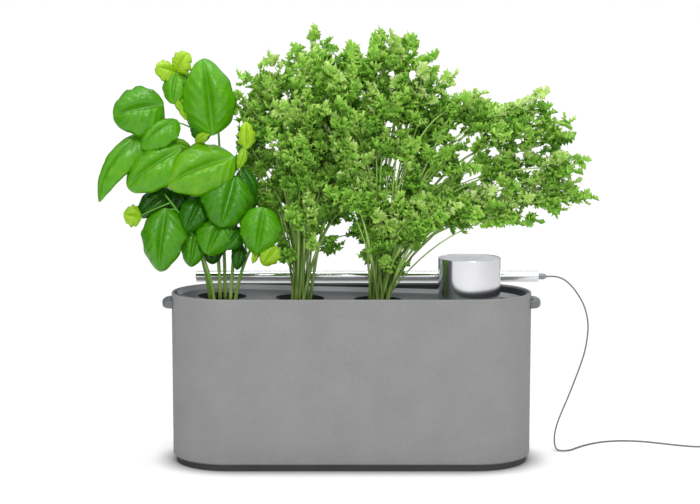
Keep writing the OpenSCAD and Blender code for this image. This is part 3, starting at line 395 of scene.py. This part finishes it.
CORD_D = 1.8 * MM
COIL_CENTRE = Vector((424, 61, 0)) * MM
COIL_OUTER = 12.7 * MM
COIL_INNER = 7.3 * MM
COIL_LAYERS = 4
COIL_STEPS = 28
COIL_LAST_TURN = 0.25
CLIMB_FROM = 0.94
TURNS_PER_LAYER = 3
CORD_ROUTE = [
    (225, 75, 195.5), (231, 75, 195.6), (238, 75, 194.8), (246, 73, 191.5), (254, 70, 184.5),
    (261, 67, 175), (266.5, 64, 165), (270, 61, 154), (271.5, 57, 141), (270, 53, 125.5),
    (266.5, 49, 110), (261, 46, 94), (254.5, 43, 77.5), (247.5, 40, 60.5), (240.5, 37.5, 44.5),
    (235, 36, 30), (232.5, 35.5, 18), (232.5, 34.5, 8.5), (234.5, 32.5, 2.6), (238.5, 31, 0.9),
    (245, 30.5, 0.9), (252, 35.5, 0.9), (261, 47, 0.9), (273, 60, 0.9), (289, 72, 0.9),
    (307, 78.5, 0.9), (325, 79, 0.9), (342, 75, 0.9), (360, 66, 0.9), (380, 56, 0.9),
    (393, 51, 0.9), (402, 50, 0.9), (408.6, 53.6, 0.9)]
TAIL_ROUTE = [
    (430, 74.4, 5.7), (436, 74.8, 4.6), (442, 73.7, 3.7), (447, 72.4, 3.5), (453, 72, 3.5), (458, 72, 3.5)]


def smooth_path(points, parts):
    """Catmull-Rom curve through points, parts steps to each span."""
    last = len(points) - 1
    path = []
    for i in range(last):
        a, b = points[max(i - 1, 0)], points[i]
        c, d = points[i + 1], points[min(i + 2, last)]
        for k in range(parts):
            t = k / parts
            path.append(0.5 * (2 * b + (c - a) * t + (2 * a - 5 * b + 4 * c - d) * t * t
                               + (3 * b - a - 3 * c + d) * t ** 3))
    path.append(points[last])
    return path


def coil_path():
    """Turns of the spare lead, spiralling in and out layer by layer and leaving at the back."""
    total = COIL_LAYERS * TURNS_PER_LAYER + COIL_LAST_TURN
    path = []
    for i in range(int(total * COIL_STEPS) + 1):
        turns = i / COIL_STEPS
        layer = min(int(turns // TURNS_PER_LAYER), COIL_LAYERS - 1)
        share = min(turns / TURNS_PER_LAYER - layer, 1)
        wide, narrow = (COIL_OUTER, COIL_INNER) if layer % 2 == 0 else (COIL_INNER, COIL_OUTER)
        radius = wide + (narrow - wide) * share
        climb = max((share - CLIMB_FROM) / (1 - CLIMB_FROM), 0) if layer < COIL_LAYERS - 1 else 0
        angle = math.pi - turns * 2 * math.pi
        height = CORD_D * (0.5 + layer + climb)
        path.append(COIL_CENTRE + Vector((radius * math.cos(angle), radius * math.sin(angle), height)))
    return path


def make_lead():
    run = smooth_path([Vector(p) * MM for p in CORD_ROUTE], 5)
    coil = coil_path()
    tail = smooth_path([coil[-1]] + [Vector(p) * MM for p in TAIL_ROUTE], 5)[1:]
    path = run + coil + tail
    bm = bmesh.new()
    tube(bm, path, [CORD_D / 2] * len(path), 12)
    bmesh.ops.recalc_face_normals(bm, faces=bm.faces)
    lead = make_piece("lamp_lead", bm, [jacket])
    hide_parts("cord_run", "cord_coil")
    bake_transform(lead, "root", "lamp_head", start=(0.25, 0.06, 0.012), end=(0.25, 0.06, 0.1955))


make_lead()

# ------------------------------------------------------------- ear handles

EAR_Z = 177.6 * MM
EAR_H = 8.6 * MM
EAR_ROUND = 3 * MM
EAR_REACH = 10.5 * MM
# half of what an ear spans; it has to bury the tips of the handle screws, which stand at 14 degrees
EAR_ANGLE = math.radians(17.5)
# groove for finger tips: how far out of the end wall it starts and ends, the thickness that its walls lean
# over, how deep it is, and how much of the ear's span it takes
GRIP_OUT = (2.4 * MM, 7.2 * MM)
GRIP_WALL = 0.2 * MM
GRIP_DEPTH = 3.7 * MM
GRIP_SHARE = 0.64
EAR_DRAWN_IN = 0.97
EAR_SINK = 0.5 * MM
END_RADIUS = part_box("outer_casing")[1].y
END_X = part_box("outer_casing")[1].x - END_RADIUS


def make_ear(name, side):
    """Ear on an end wall: a rounded bar's outline spun round the wall's own centre, its ends drawn in,
    with a groove for finger tips underneath."""
    bm = bmesh.new()
    outline = [(END_RADIUS - EAR_SINK, -EAR_H / 2), (END_RADIUS - EAR_SINK, EAR_H / 2)]
    for i in range(9):
        turn = math.pi / 2 - math.pi * i / 8
        low = -1 if i > 4 else 1
        outline.append((END_RADIUS + EAR_REACH - EAR_ROUND * (1 - math.cos(turn)),
                        low * (EAR_H / 2 - EAR_ROUND) + EAR_ROUND * math.sin(turn)))
    grip_in, grip_out = GRIP_OUT
    for out in (grip_out, grip_out - GRIP_WALL, grip_in + GRIP_WALL, grip_in):
        outline.append((END_RADIUS + out, -EAR_H / 2))
    face = bm.faces.new([bm.verts.new((r, 0, z)) for r, z in outline])
    bmesh.ops.spin(bm, geom=[face, *face.edges, *face.verts], cent=(0, 0, 0), axis=(0, 0, 1),
                   angle=2 * EAR_ANGLE, steps=40)
    bmesh.ops.rotate(bm, verts=bm.verts, cent=(0, 0, 0), matrix=Matrix.Rotation(-EAR_ANGLE, 3, "Z"))
    for vert in bm.verts:
        share = min(abs(math.atan2(vert.co.y, vert.co.x)) / EAR_ANGLE, 1)
        out = math.hypot(vert.co.x, vert.co.y) - END_RADIUS
        in_grip = grip_in + GRIP_WALL / 2 < out < grip_out - GRIP_WALL / 2
        if in_grip and vert.co.z < 0 and share < GRIP_SHARE:
            vert.co.z += GRIP_DEPTH
        if out > 0:
            flat = vert.co.to_2d().normalized()
            flat *= END_RADIUS + out * math.sqrt(1 - EAR_DRAWN_IN * share ** 5)
            vert.co = (flat.x, flat.y, vert.co.z)
        vert.co = (side * (vert.co.x + END_X), vert.co.y, vert.co.z + EAR_Z)
    bmesh.ops.recalc_face_normals(bm, faces=bm.faces)
    ear = make_piece(name, bm, [handle_abs])
    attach(ear, "root")
    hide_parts(name)


make_ear("left_handle", -1)
make_ear("right_handle", 1)

# ------------------------------------------------------------------- herbs

RIM = 190 * MM
POT_X = [-144 * MM, -57 * MM, 30 * MM]
STEM_SPREAD = 11 * MM
GOLDEN_ANGLE = math.radians(137.5)

# [foot on the plug, bend, end] of each basil stem, from the middle of its pot hole at the level of the rim
BASIL_STEMS = [
    [(-2, -3), (-3, 0, 120), (-38, 4, 248)],
    [(-13, 3), (-22, 4, 80), (-84, 6, 160)],
    [(9, -5), (16, -4, 80), (26, -8, 170)],
    [(-8, -8), (-12, -10, 48), (-60, -22, 110)],
    [(14, -3), (22, -8, 42), (48, -18, 70)],
    [(3, 9), (2, 12, 80), (-4, 20, 180)]]
# [stem, place along it, base, tip, width, facing, tone] of each basil leaf, from the same point; the tone is
# pale for small young leaves and low for leaves low down, inside the bunch or facing back, as painted shade
BASIL_LEAVES = [
    [0, 1.00, (-48, 4, 242), (-69, -8, 249), 28, (-0.1, -1, 0.6), 0.95],
    [0, 1.00, (-50, 4, 242), (-36, -6, 264), 29, (-0.2, -1, 0.4), 1.0],
    [0, 0.93, (-47, 0, 243), (-52, -14, 210), 30, (-0.1, -1, 0.4), 0.62],
    [0, 0.90, (-45, 0, 216), (-37, -10, 192), 13, (0.2, -1, 0.2), 0.85],
    [0, 0.75, (-8, -6, 174), (-17, -14, 257), 62, (0.15, -1, 0.25), 0.6],
    [1, 0.98, (-62, -2, 208), (-116, -16, 197), 68, (-0.15, -1, 0.45), 0.55],
    [0, 0.72, (-47, -8, 191), (-85, -24, 163), 38, (-0.1, -1, 0.7), 0.6],
    [1, 0.95, (-81, -4, 179), (-137, -20, 105), 38, (-0.6, -1, 0.5), 0.6],
    [0, 0.58, (-42, -16, 161), (-101, -28, 120), 59, (-0.15, -1, 0.45), 0.62],
    [2, 0.85, (15, -12, 152), (-56, -38, 125), 62, (0.05, -1, 0.4), 0.66],
    [1, 0.60, (-56, -6, 114), (-91, -16, 86), 30, (-0.1, -1, 0.1), 0.12],
    [0, 0.40, (-44, -4, 118), (-52, -14, 88), 24, (0, -1, 0.1), 0.08],
    [3, 0.95, (-86, -20, 86), (-105, -26, 89), 25, (-0.1, -1, 0.3), 0.92],
    [3, 0.85, (-59, -20, 95), (-67, -32, 27), 53, (-0.2, -1, 0.15), 0.5],
    [2, 0.55, (-20, -14, 108), (-38, -26, 70), 36, (0.05, -1, 0.15), 0.25],
    [2, 0.60, (16, -16, 130), (2, -38, 78), 64, (0.2, -1, 0.3), 0.42],
    [3, 0.40, (-27, -12, 69), (-33, -22, 31), 30, (0, -1, 0.25), 0.45],
    [5, 0.40, (3, -18, 85), (-14, -32, 46), 46, (0.1, -1, 0.4), 0.5],
    [4, 0.60, (23, -16, 73), (6, -30, 52), 26, (0.1, -1, 0.2), 0.3],
    [4, 1.00, (49, -31, 97), (40, -40, 47), 48, (0.1, -1, 0.3), 0.55],
    [4, 0.90, (62, -33, 55), (47, -38, 35), 24, (0.1, -1, 0.2), 0.9],
    [2, 1.00, (30, -12, 160), (29, -14, 189), 20, (0.2, -1, 0.2), 0.98],
    [2, 1.00, (28, -12, 161), (20, -16, 138), 12, (0.4, -1, 0.2), 0.85],
    [0, 0.70, (-16, 2, 167), (-28, -2, 194), 24, (0.1, -1, 0.3), 0.3],
    [2, 0.60, (20, -6, 114), (33, -14, 90), 36, (0.2, -1, 0.3), 0.2],
    [4, 0.50, (21, -10, 55), (18, -18, 27), 17, (0.2, -1, 0.1), 0.15],
    [5, 0.50, (-10, -4, 59), (-10, -10, 32), 26, (0, -1, 0.2), 0.12],
    [5, 0.60, (-5, 22, 119), (-47, 46, 89), 60, (0, 1, 0.5), 0.35],
    [0, 0.80, (-29, 10, 218), (-55, 30, 233), 55, (-0.2, 1, 0.8), 0.4],
    [1, 0.60, (-54, 8, 139), (-99, 34, 126), 55, (-0.1, 0.8, 0.8), 0.4],
    [5, 0.35, (-19, 20, 84), (-58, 44, 57), 50, (-0.2, 1, 0.4), 0.35],
    [0, 0.88, (-33, -2, 196), (-52, -10, 222), 17, (0.3, -1, 0.3), 0.8],
    [0, 0.82, (-31, 0, 188), (-36, -6, 207), 13, (-0.2, -1, 0.2), 0.5],
    [0, 0.76, (-24, 2, 168), (-21, -8, 190), 22, (0.1, -1, 0.4), 0.35],
    [0, 0.70, (-28, -4, 166), (-12, -8, 178), 13, (0.1, -1, 0.5), 0.93],
    [1, 0.92, (-66, 4, 206), (-88, -2, 224), 20, (-0.1, -1, 0.7), 0.5],
    [1, 0.80, (-66, 6, 172), (-50, -2, 150), 26, (-0.2, -1, 0.2), 0.2],
    [0, 0.62, (-32, -2, 158), (-54, -10, 168), 16, (-0.1, -1, 0.6), 0.7],
    [2, 0.70, (22, -2, 136), (38, -8, 108), 24, (0.3, -1, 0.3), 0.25],
    [4, 0.95, (52, -26, 92), (58, -30, 62), 13, (0.5, -1, 0.2), 0.9],
    [4, 0.85, (44, -24, 58), (36, -32, 36), 10, (0.1, -1, 0.1), 0.97]]

# heart of each parsley frond, from the middle of its pot hole at the level of the rim
MIDDLE_FRONDS = [
    (-60, 34, 206), (-38, 38, 226), (-16, 18, 238), (18, 8, 262), (22, -12, 240), (-46, 34, 184),
    (-54, 38, 146), (4, -14, 204), (22, 22, 206), (-34, 32, 112), (10, -24, 160), (-22, 30, 84),
    (18, 20, 112), (10, -18, 92), (-10, -6, 172), (26, 4, 172), (-26, 26, 204), (6, 4, 132),
    (52, 30, 222), (48, 32, 186), (54, 34, 150), (46, 28, 118), (38, 24, 246), (58, 36, 96)]
RIGHT_FRONDS = [
    (-16, -10, 256), (6, 10, 266), (30, -6, 260), (-12, 20, 210), (8, -22, 212), (54, -10, 226),
    (66, 10, 190), (94, -10, 206), (122, 8, 196), (148, -6, 182), (172, -8, 200), (192, 4, 172),
    (200, -6, 138), (206, -4, 108), (178, 8, 106), (152, 6, 140), (60, 14, 108), (112, 10, 100),
    (146, -8, 92), (-14, -6, 164), (-4, 12, 118), (22, -14, 172), (38, -16, 78), (58, -18, 86),
    (16, -14, 70), (74, 6, 84), (108, -14, 94),
    (44, -8, 132), (48, 14, 176), (78, -12, 148), (24, -16, 98), (-10, -8, 82), (88, 8, 106),
    (-38, -24, 236), (-34, -26, 196), (-36, -22, 150), (-30, -26, 112), (64, -14, 96), (36, 16, 228)]


def pot_home(number):
    return Vector((POT_X[number], 0, RIM))


def stem_foot(number, i, count):
    """Start of a stem on the growing plug, spread by the golden angle."""
    plug_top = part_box(["left", "middle", "right"][number] + "_grow_plug")[1].z
    reach = STEM_SPREAD * math.sqrt((i + 0.5) / count)
    angle = GOLDEN_ANGLE * i
    return Vector((POT_X[number] + reach * math.cos(angle), reach * math.sin(angle), plug_top))


def leaf_half_width(u):
    return max(math.sin(math.pi * min(u, 0.999) ** 0.85) ** 0.55 * (1 - 0.1 * u), 0.02)


LEAF_ARCH = 0.14
VEINS = 6.5
VEIN_SWEEP = 0.7
LEAF_THICK = 0.5 * MM
LEAF_GRID = (34, 22)
PUFF = 0.085
TROUGH = 0.13
BASIL_STEM_STEPS = 14


def set_leaf_map(bm, faces, places, tone_and_shade):
    """Writes how far along and across the leaf each corner lies, and the leaf's tone, its own paleness with
    painted light and shade.
    """
    leaf_map = bm.loops.layers.uv["leaf"]
    shade = bm.verts.layers.float["tone_and_shade"]
    for face in faces:
        for loop in face.loops:
            if loop.vert in places:
                loop[leaf_map].uv = places[loop.vert]
    for vert in places:
        vert[shade] = tone_and_shade


def basil_leaf(bm, base, tip, width, facing, tone_and_shade, seed):
    """One domed, blistered oval leaf, shaped from a flat grid and given its thickness."""
    along = (tip - base).normalized()
    side = Vector(facing).cross(along).normalized()
    out = along.cross(side)
    length = (tip - base).length
    made = bmesh.ops.create_grid(bm, x_segments=LEAF_GRID[0], y_segments=LEAF_GRID[1], size=0.5)
    places = {}
    for vert in made["verts"]:
        u, v = 0.5 + 0.5 * math.sin(math.pi * vert.co.x), vert.co.y * 2
        places[vert] = (u, v / 2 + 0.5)
        reach = leaf_half_width(u)
        body = math.sin(math.pi * u)
        vein = VEINS * (u - VEIN_SWEEP * abs(v) / 2)
        blister = abs(math.sin(math.pi * vein)) ** 0.6 * (1 - math.exp(-(v / 0.2) ** 2))
        puff = width * PUFF * blister * body * (1 - 0.4 * v * v)
        trough = -width * TROUGH * math.exp(-(v / 0.12) ** 2) * body
        drop = -width * reach * (0.2 * v * v + 0.1 * v ** 4) - length * 1.3 * max(u - 0.75, 0) ** 2
        wave = width * 0.05 * math.sin(5.3 * u + seed * 1.7) * v
        ripple = 1 + (0.04 + 0.4 * max(tone_and_shade - 0.8, 0)) * math.sin(22 * u + seed) * v * v
        lift = length * LEAF_ARCH * body + drop + puff + trough + wave
        vert.co = base + along * length * u + side * reach * width / 2 * v * ripple + out * lift
    faces = list({f for v in made["verts"] for f in v.link_faces})
    set_leaf_map(bm, faces, places, tone_and_shade)
    bmesh.ops.solidify(bm, geom=faces, thickness=LEAF_THICK)


def new_plant_bmesh():
    bm = bmesh.new()
    bm.loops.layers.uv.new("leaf")
    bm.verts.layers.float.new("tone_and_shade")
    return bm


def make_basil():
    leaves, stalks = new_plant_bmesh(), bmesh.new()
    home = pot_home(0)
    plug_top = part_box("left_grow_plug")[1].z
    stems = []
    for (x, y), bend, end in BASIL_STEMS:
        foot = Vector((home.x + x * MM, y * MM, plug_top))
        path = bow(foot, home + Vector(bend) * MM, home + Vector(end) * MM, BASIL_STEM_STEPS)
        stems.append(path)
        tube(stalks, path, taper(2.1 * MM, 1.1 * MM, len(path)), 12)
    for i, (stem, share, base, tip, width, facing, tone_and_shade) in enumerate(BASIL_LEAVES):
        path = stems[stem]
        start = path[round(share * BASIL_STEM_STEPS)]
        base, tip = home + Vector(base) * MM, home + Vector(tip) * MM
        into = base.lerp(tip, 0.08)
        bend = start.lerp(base, 0.6) + Vector((0, 0, 2 * MM))
        tube(stalks, bow(start, bend, into, 6), taper(1.1 * MM, 0.7 * MM, 7), 8)
        basil_leaf(leaves, base, tip, width * MM, facing, tone_and_shade, i * 1.3)
    for bm in (leaves, stalks):
        bmesh.ops.recalc_face_normals(bm, faces=bm.faces)
    leaf_piece = make_piece("basil_leaves", leaves, [basil_skin])
    stalk_piece = make_piece("basil_stems", stalks, [basil_stalk])
    for piece in (leaf_piece, stalk_piece):
        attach(piece, "left_pot")
    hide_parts("basil_plant")


CURL_KINDS = 8
CURL_SIZE = 7 * MM
CURL_RINGS = 2
CURL_SPOKES = 30


def curled_leaflet(seed):
    """Frilled leaflet: a disc spun from a spoke, cut into three lobes with teeth and ruffled, with its
    stalk end at the origin."""
    bm = new_plant_bmesh()
    spine = [bm.verts.new((CURL_SIZE * (0.14 + 0.86 * i / CURL_RINGS), 0, 0)) for i in range(CURL_RINGS + 1)]
    edges = [bm.edges.new(pair) for pair in zip(spine, spine[1:])]
    bmesh.ops.spin(bm, geom=spine + edges, cent=(0, 0, 0), axis=(0, 0, 1), angle=2 * math.pi,
                   steps=CURL_SPOKES, use_merge=True)
    hole = [e for e in bm.edges if e.is_boundary and e.verts[0].co.length < CURL_SIZE * 0.2]
    bmesh.ops.edgeloop_fill(bm, edges=hole)
    bm.normal_update()
    places, ruffle_shade_tones = {}, []
    shade = bm.verts.layers.float["tone_and_shade"]
    for vert in bm.verts:
        radius = vert.co.length / CURL_SIZE
        angle = math.atan2(vert.co.y, vert.co.x)
        rim = max(radius - 0.3, 0) / 0.7
        edge = 0.2 * math.cos(3 * angle) + 0.22 * math.cos(9 * angle + seed) + 0.12 * math.cos(15 * angle)
        ruffle = 0.38 * rim * math.sin(9 * angle + seed * 2.1) + 0.12 * rim * math.sin(5 * angle + seed)
        # painted light and shade: the tone is lighter towards the rim and on the crests of the ruffles,
        # darker in their folds
        ruffle_shade_tones.append(0.28 * rim + 0.5 * ruffle - 0.14)
        cup = 0.25 * radius ** 2 + 0.2 * radius * math.sin(2 * angle + seed)
        reach = radius * (1 + rim * edge)
        places[vert] = (0.5 + 0.45 * radius * math.cos(angle), 0.5 + 0.45 * math.sin(angle) * radius)
        vert.co = CURL_SIZE * Vector((0.9 + reach * math.cos(angle), reach * math.sin(angle), ruffle + cup))
    set_leaf_map(bm, bm.faces, places, 0)
    for vert, tone_and_shade in zip(places, ruffle_shade_tones):
        vert[shade] = tone_and_shade
    bmesh.ops.solidify(bm, geom=bm.faces, thickness=0.25 * MM)
    mesh = bpy.data.meshes.new(f"curl_{seed}")
    bm.to_mesh(mesh)
    bm.free()
    return mesh


def put_leaflet(bm, kinds, place, toward, size, tone_and_shade, chance):
    """Adds one leaflet of a random kind at place, growing toward a direction."""
    mesh = kinds[chance.randrange(len(kinds))].copy()
    turn = toward.to_track_quat("X", "Z").to_matrix().to_4x4()
    roll = Matrix.Rotation(chance.uniform(-1.2, 1.2), 4, "X")
    mesh.transform(Matrix.Translation(place) @ turn @ roll @ Matrix.Scale(size, 4))
    for shade in mesh.attributes["tone_and_shade"].data:
        shade.value += tone_and_shade
    bm.from_mesh(mesh)
    bpy.data.meshes.remove(mesh)


# [place along the stalk, how far it spreads] of each pair of leaflets
LEAFLET_PAIRS = ((0.9, 0.8), (0.62, 1.0), (0.36, 1.2))


def put_frond(bm, stalks, kinds, number, root, heart, tone_and_shade, chance):
    """A compound leaf: a stalk from root to heart, with pairs of leaflets and one at its end."""
    bend = root.lerp(heart, 0.5) + Vector((0, 0, (heart - root).length * 0.15))
    path = bow(root, bend, heart, 3)
    tube(stalks, path, taper(0.75 * MM, 0.5 * MM, 4), 5)
    along = (heart - root).normalized()
    side = along.cross(Vector((chance.uniform(-1, 1), chance.uniform(-1, 1), 0.4))).normalized()
    put_leaflet(bm, kinds, heart, along, chance.uniform(0.9, 1.15), tone_and_shade, chance)
    for share, spread in LEAFLET_PAIRS:
        for sign in (-1, 1):
            place = own_side(root.lerp(heart, share), number)
            lift = Vector((0, 0, chance.uniform(-0.3, 0.5)))
            toward = (along * 0.7 + side * sign * spread + lift).normalized()
            lighter = tone_and_shade + chance.uniform(-0.15, 0.15)
            put_leaflet(bm, kinds, place, toward, chance.uniform(0.75, 1.05), lighter, chance)


FRONDS_A_HEART = 5
CROWN_SPREAD = Vector((27, 14, 20)) * MM
FROND_LENGTH = 24 * MM
STEM_STEPS = 16
LONG_REACH = 110 * MM
STEM_FRONDS = (0.68, 0.84)
LOW_FROND_EVERY = 3
LOWEST_FROND_Z = 262 * MM
HEARTS_A_PIECE = 8
CAP_X = 131 * MM
CAP_BERTH = 60 * MM
CAP_CLEAR_Z = 259 * MM
BORDER_X = -8 * MM
BORDER_SLANT = 0.9
BORDER_BERTH = 15 * MM


def own_side(place, number):
    """The place, moved back to its own side of the slanting border between the two parsley crowns."""
    border = BORDER_X + BORDER_SLANT * place.y
    if number == 1:
        return Vector((min(place.x, border - BORDER_BERTH), place.y, place.z))
    return Vector((max(place.x, border + BORDER_BERTH), place.y, place.z))


def clear_of_cap(place):
    """The place, raised where it would be in the way of the cap when that is lifted."""
    if abs(place.x - CAP_X) > CAP_BERTH:
        return place
    return Vector((place.x, place.y, max(place.z, CAP_CLEAR_Z)))


def put_side_stalk(leaves, stalks, kinds, number, stem, chance):
    """A thinner stalk that leaves a stem part of the way up and ends lower in a frond of its own."""
    fork, end = stem[chance.choice((1, 4, 6, 7))], stem[-1]
    sag = 8 if end.x > CAP_X - CAP_BERTH else 42
    aside = Vector((chance.uniform(-16, 16), chance.uniform(-8, 8), -chance.uniform(sag / 7, sag))) * MM
    side_end = own_side(clear_of_cap(end + aside), number)
    bend = fork.lerp(side_end, 0.4) + Vector((0, 0, (side_end - fork).length * 0.12))
    path = bow(fork, clear_of_cap(bend), side_end, 12)
    tube(stalks, path, taper(0.9 * MM, 0.5 * MM, 13), 6)
    # painted shade: the frond that hangs lower gets a darker tone than the crown's
    put_frond(leaves, stalks, kinds, number, path[-4], side_end, chance.uniform(0.1, 0.6), chance)


def make_parsley(name, number, hearts, body, seed):
    """Herb with a stem to each heart, and curled fronds scattered round every heart by the golden angle."""
    chance = random.Random(seed)
    kinds = [curled_leaflet(k) for k in range(CURL_KINDS)]
    stalks, crowns = bmesh.new(), []
    home = pot_home(number)
    count = len(hearts)
    for i, heart in enumerate(hearts):
        if i % HEARTS_A_PIECE == 0:
            crowns.append(new_plant_bmesh())
        leaves = crowns[-1]
        foot, end = stem_foot(number, i, count), own_side(home + Vector(heart) * MM, number)
        far = min(1, abs(end.x - foot.x) / LONG_REACH)
        bend = Vector((foot.x + (end.x - foot.x) * (0.35 - 0.12 * far), foot.y + (end.y - foot.y) * 0.3,
                       foot.z + (end.z - foot.z) * (0.62 + 0.42 * far)))
        path = bow(foot, bend, end, STEM_STEPS)
        tube(stalks, path, taper(chance.uniform(1.1, 2.1) * MM, 0.7 * MM, STEM_STEPS + 1), 8)
        put_side_stalk(leaves, stalks, kinds, number, path, chance)
        root = min(path, key=lambda p: abs((p - end).length - FROND_LENGTH))
        for k in range(FRONDS_A_HEART):
            turn = GOLDEN_ANGLE * (k + i * FRONDS_A_HEART)
            reach = math.sqrt((k + 0.5) / FRONDS_A_HEART)
            shift = Vector((reach * math.cos(turn), chance.uniform(-1, 1), reach * math.sin(turn)))
            # painted light and shade: fronds high in the crown get a lighter tone and fronds towards the
            # back a darker one, with a random drift
            tone_and_shade = 0.45 + 0.3 * shift.z - 0.25 * max(shift.y, 0) + chance.uniform(-0.15, 0.15)
            frond_end = own_side(clear_of_cap(end + shift * CROWN_SPREAD), number)
            put_frond(leaves, stalks, kinds, number, root, frond_end, tone_and_shade, chance)
        if i % LOW_FROND_EVERY == 0:
            low = path[chance.choice((5, 6, 7))]
            aside = Vector((chance.uniform(-16, 16), chance.uniform(-10, 6), chance.uniform(-4, 10))) * MM
            # painted shade: the low frond gets a dark tone
            put_frond(leaves, stalks, kinds, number, low, own_side(low + aside, number), 0.2, chance)
        for share in STEM_FRONDS:
            spot = path[round(STEM_STEPS * share)]
            aside = Vector((chance.uniform(-14, 14), chance.uniform(-12, 8), chance.uniform(2, 16))) * MM
            if spot.z > LOWEST_FROND_Z:
                frond_end = own_side(clear_of_cap(spot + aside), number)
                # painted shade: fronds along the stem get a darker tone than the top of the crown
                put_frond(leaves, stalks, kinds, number, spot, frond_end, chance.uniform(0, 0.5), chance)
    for kind in kinds:
        bpy.data.meshes.remove(kind)
    bmesh.ops.recalc_face_normals(stalks, faces=stalks.faces)
    pieces = [make_piece(f"{name}_leaves_{k + 1}", bm, [parsley_skin]) for k, bm in enumerate(crowns)]
    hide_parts(name)
    for piece in pieces + [make_piece(name + "_stems", stalks, [parsley_stalk])]:
        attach(piece, body)


make_basil()
make_parsley("middle_parsley", 1, MIDDLE_FRONDS, "middle_pot", 7)
make_parsley("right_parsley", 2, RIGHT_FRONDS, "right_pot", 11)

# ------------------------------------------------------------------- stage

FLOOR_SIZE = 60
PAPER_GLOW = 1.04
NEAR_GLOW = 0.17
CONTACT_REACH = 0.03
FADE_FROM = 0.28
FADE_TO = 0.7
ROOM_LIGHT = 0.55


def either(tree, a, b):
    """The larger of two values, so 1 where either of two ray kinds is 1."""
    return add(tree, "Math", {0: a, 1: b}, operation="MAXIMUM").outputs["Value"]


def studio_floor():
    # Seamless white paper; close round the object its colour is darkened by ambient occlusion, a painted
    # contact shadow added to the shadows the lamps cast; farther off the camera sees it as plain white
    material, tree, shader = new_material("paper_sweep", Roughness=1.0, Specular_IOR_Level=0.0)
    # painted shadow: the paper's colour is darkened where ambient occlusion finds the object near
    contact = add(tree, "AmbientOcclusion", {"Distance": CONTACT_REACH}, samples=12)
    paper_with_painted_shadow = ramp(tree, contact.outputs["AO"], [(0.4, "#5a5a5a"), (0.95, "#f2f2f2")])
    path = add(tree, "LightPath").outputs
    seen = either(tree, path["Is Camera Ray"], path["Is Transmission Ray"])
    away = add(tree, "VectorMath", {0: object_place(tree)}, operation="LENGTH")
    span = {"Value": away.outputs["Value"], "From Min": FADE_FROM, "From Max": FADE_TO}
    fade = add(tree, "MapRange", {**span, "To Min": 0.0, "To Max": seen})
    glow = add(tree, "MapRange", {**span, "To Min": NEAR_GLOW, "To Max": PAPER_GLOW})
    strength = add(tree, "Math", {0: seen, 1: glow.outputs["Result"]}, operation="MULTIPLY")
    mixed = add(tree, "Mix", {"Factor": fade.outputs["Result"], "A": paper_with_painted_shadow, "B": (0, 0, 0, 1)},
                data_type="RGBA")
    tree.links.new(mixed.outputs["Result"], shader.inputs["Base Color"])
    shader.inputs["Emission Color"].default_value = (1, 1, 1, 1)
    tree.links.new(strength.outputs["Value"], shader.inputs["Emission Strength"])
    return material


def make_floor():
    bm = bmesh.new()
    bmesh.ops.create_grid(bm, x_segments=1, y_segments=1, size=FLOOR_SIZE)
    make_piece("floor", bm, [studio_floor()], smooth=False)


def make_card(name, code, size, place, axis):
    # Matte card round the set, seen only in reflections: gives bright and glossy surfaces a darker edge
    material, _, shader = new_material(name, Roughness=1.0, Specular_IOR_Level=0.0)
    shader.inputs["Base Color"].default_value = srgb(code)
    bm = bmesh.new()
    bmesh.ops.create_grid(bm, x_segments=1, y_segments=1, size=0.5)
    stand_up = Matrix.Rotation(math.pi / 2, 4, axis)
    bmesh.ops.transform(bm, verts=bm.verts,
                        matrix=Matrix.Translation(place) @ stand_up @ Matrix.Diagonal((*size, 1, 1)))
    card = make_piece(name, bm, [material], smooth=False)
    for ray in ("camera", "diffuse", "shadow", "transmission"):
        setattr(card, "visible_" + ray, False)


def make_world():
    world = bpy.data.worlds.new("studio")
    world.use_nodes = True
    tree = world.node_tree
    path = add(tree, "LightPath").outputs
    seen = either(tree, path["Is Camera Ray"], path["Is Glossy Ray"])
    seen = either(tree, seen, path["Is Transmission Ray"])
    strength = add(tree, "MapRange", {"Value": seen, "To Min": ROOM_LIGHT, "To Max": 1.0})
    tree.nodes["Background"].inputs["Color"].default_value = (1, 1, 1, 1)
    tree.links.new(strength.outputs["Result"], tree.nodes["Background"].inputs["Strength"])
    bpy.context.scene.world = world


def soft_light(name, place, aim, size, power):
    light = bpy.data.lights.new(name, "AREA")
    light.shape = "RECTANGLE"
    light.size, light.size_y = size
    light.energy = power
    lamp = bpy.data.objects.new(name, light)
    lamp.location = place
    lamp.rotation_euler = (Vector(aim) - Vector(place)).to_track_quat("-Z", "Y").to_euler()
    bpy.context.scene.collection.objects.link(lamp)


def make_lights():
    middle = (0, 0, 0.25)
    soft_light("key", (0.35, -1.9, 2.1), middle, (1.1, 0.9), 26)
    soft_light("fill", (-1.6, -1.9, 1.4), middle, (1.4, 1.4), 4)
    soft_light("top", (0, 0.2, 2.4), middle, (2.0, 1.2), 28)


make_floor()
make_card("left_card", "#46484c", (1, 1), (-0.9, 0.1, 0.3), "Y")
make_card("back_card", "#c2c3c7", (1.2, 1.6), (0.4, 1.1, 0.62), "X")
make_card("back_left_card", "#6c7076", (1.5, 1.6), (-0.95, 1.1, 0.62), "X")
make_world()
make_lights()
bpy.context.scene.view_settings.view_transform = "Standard"
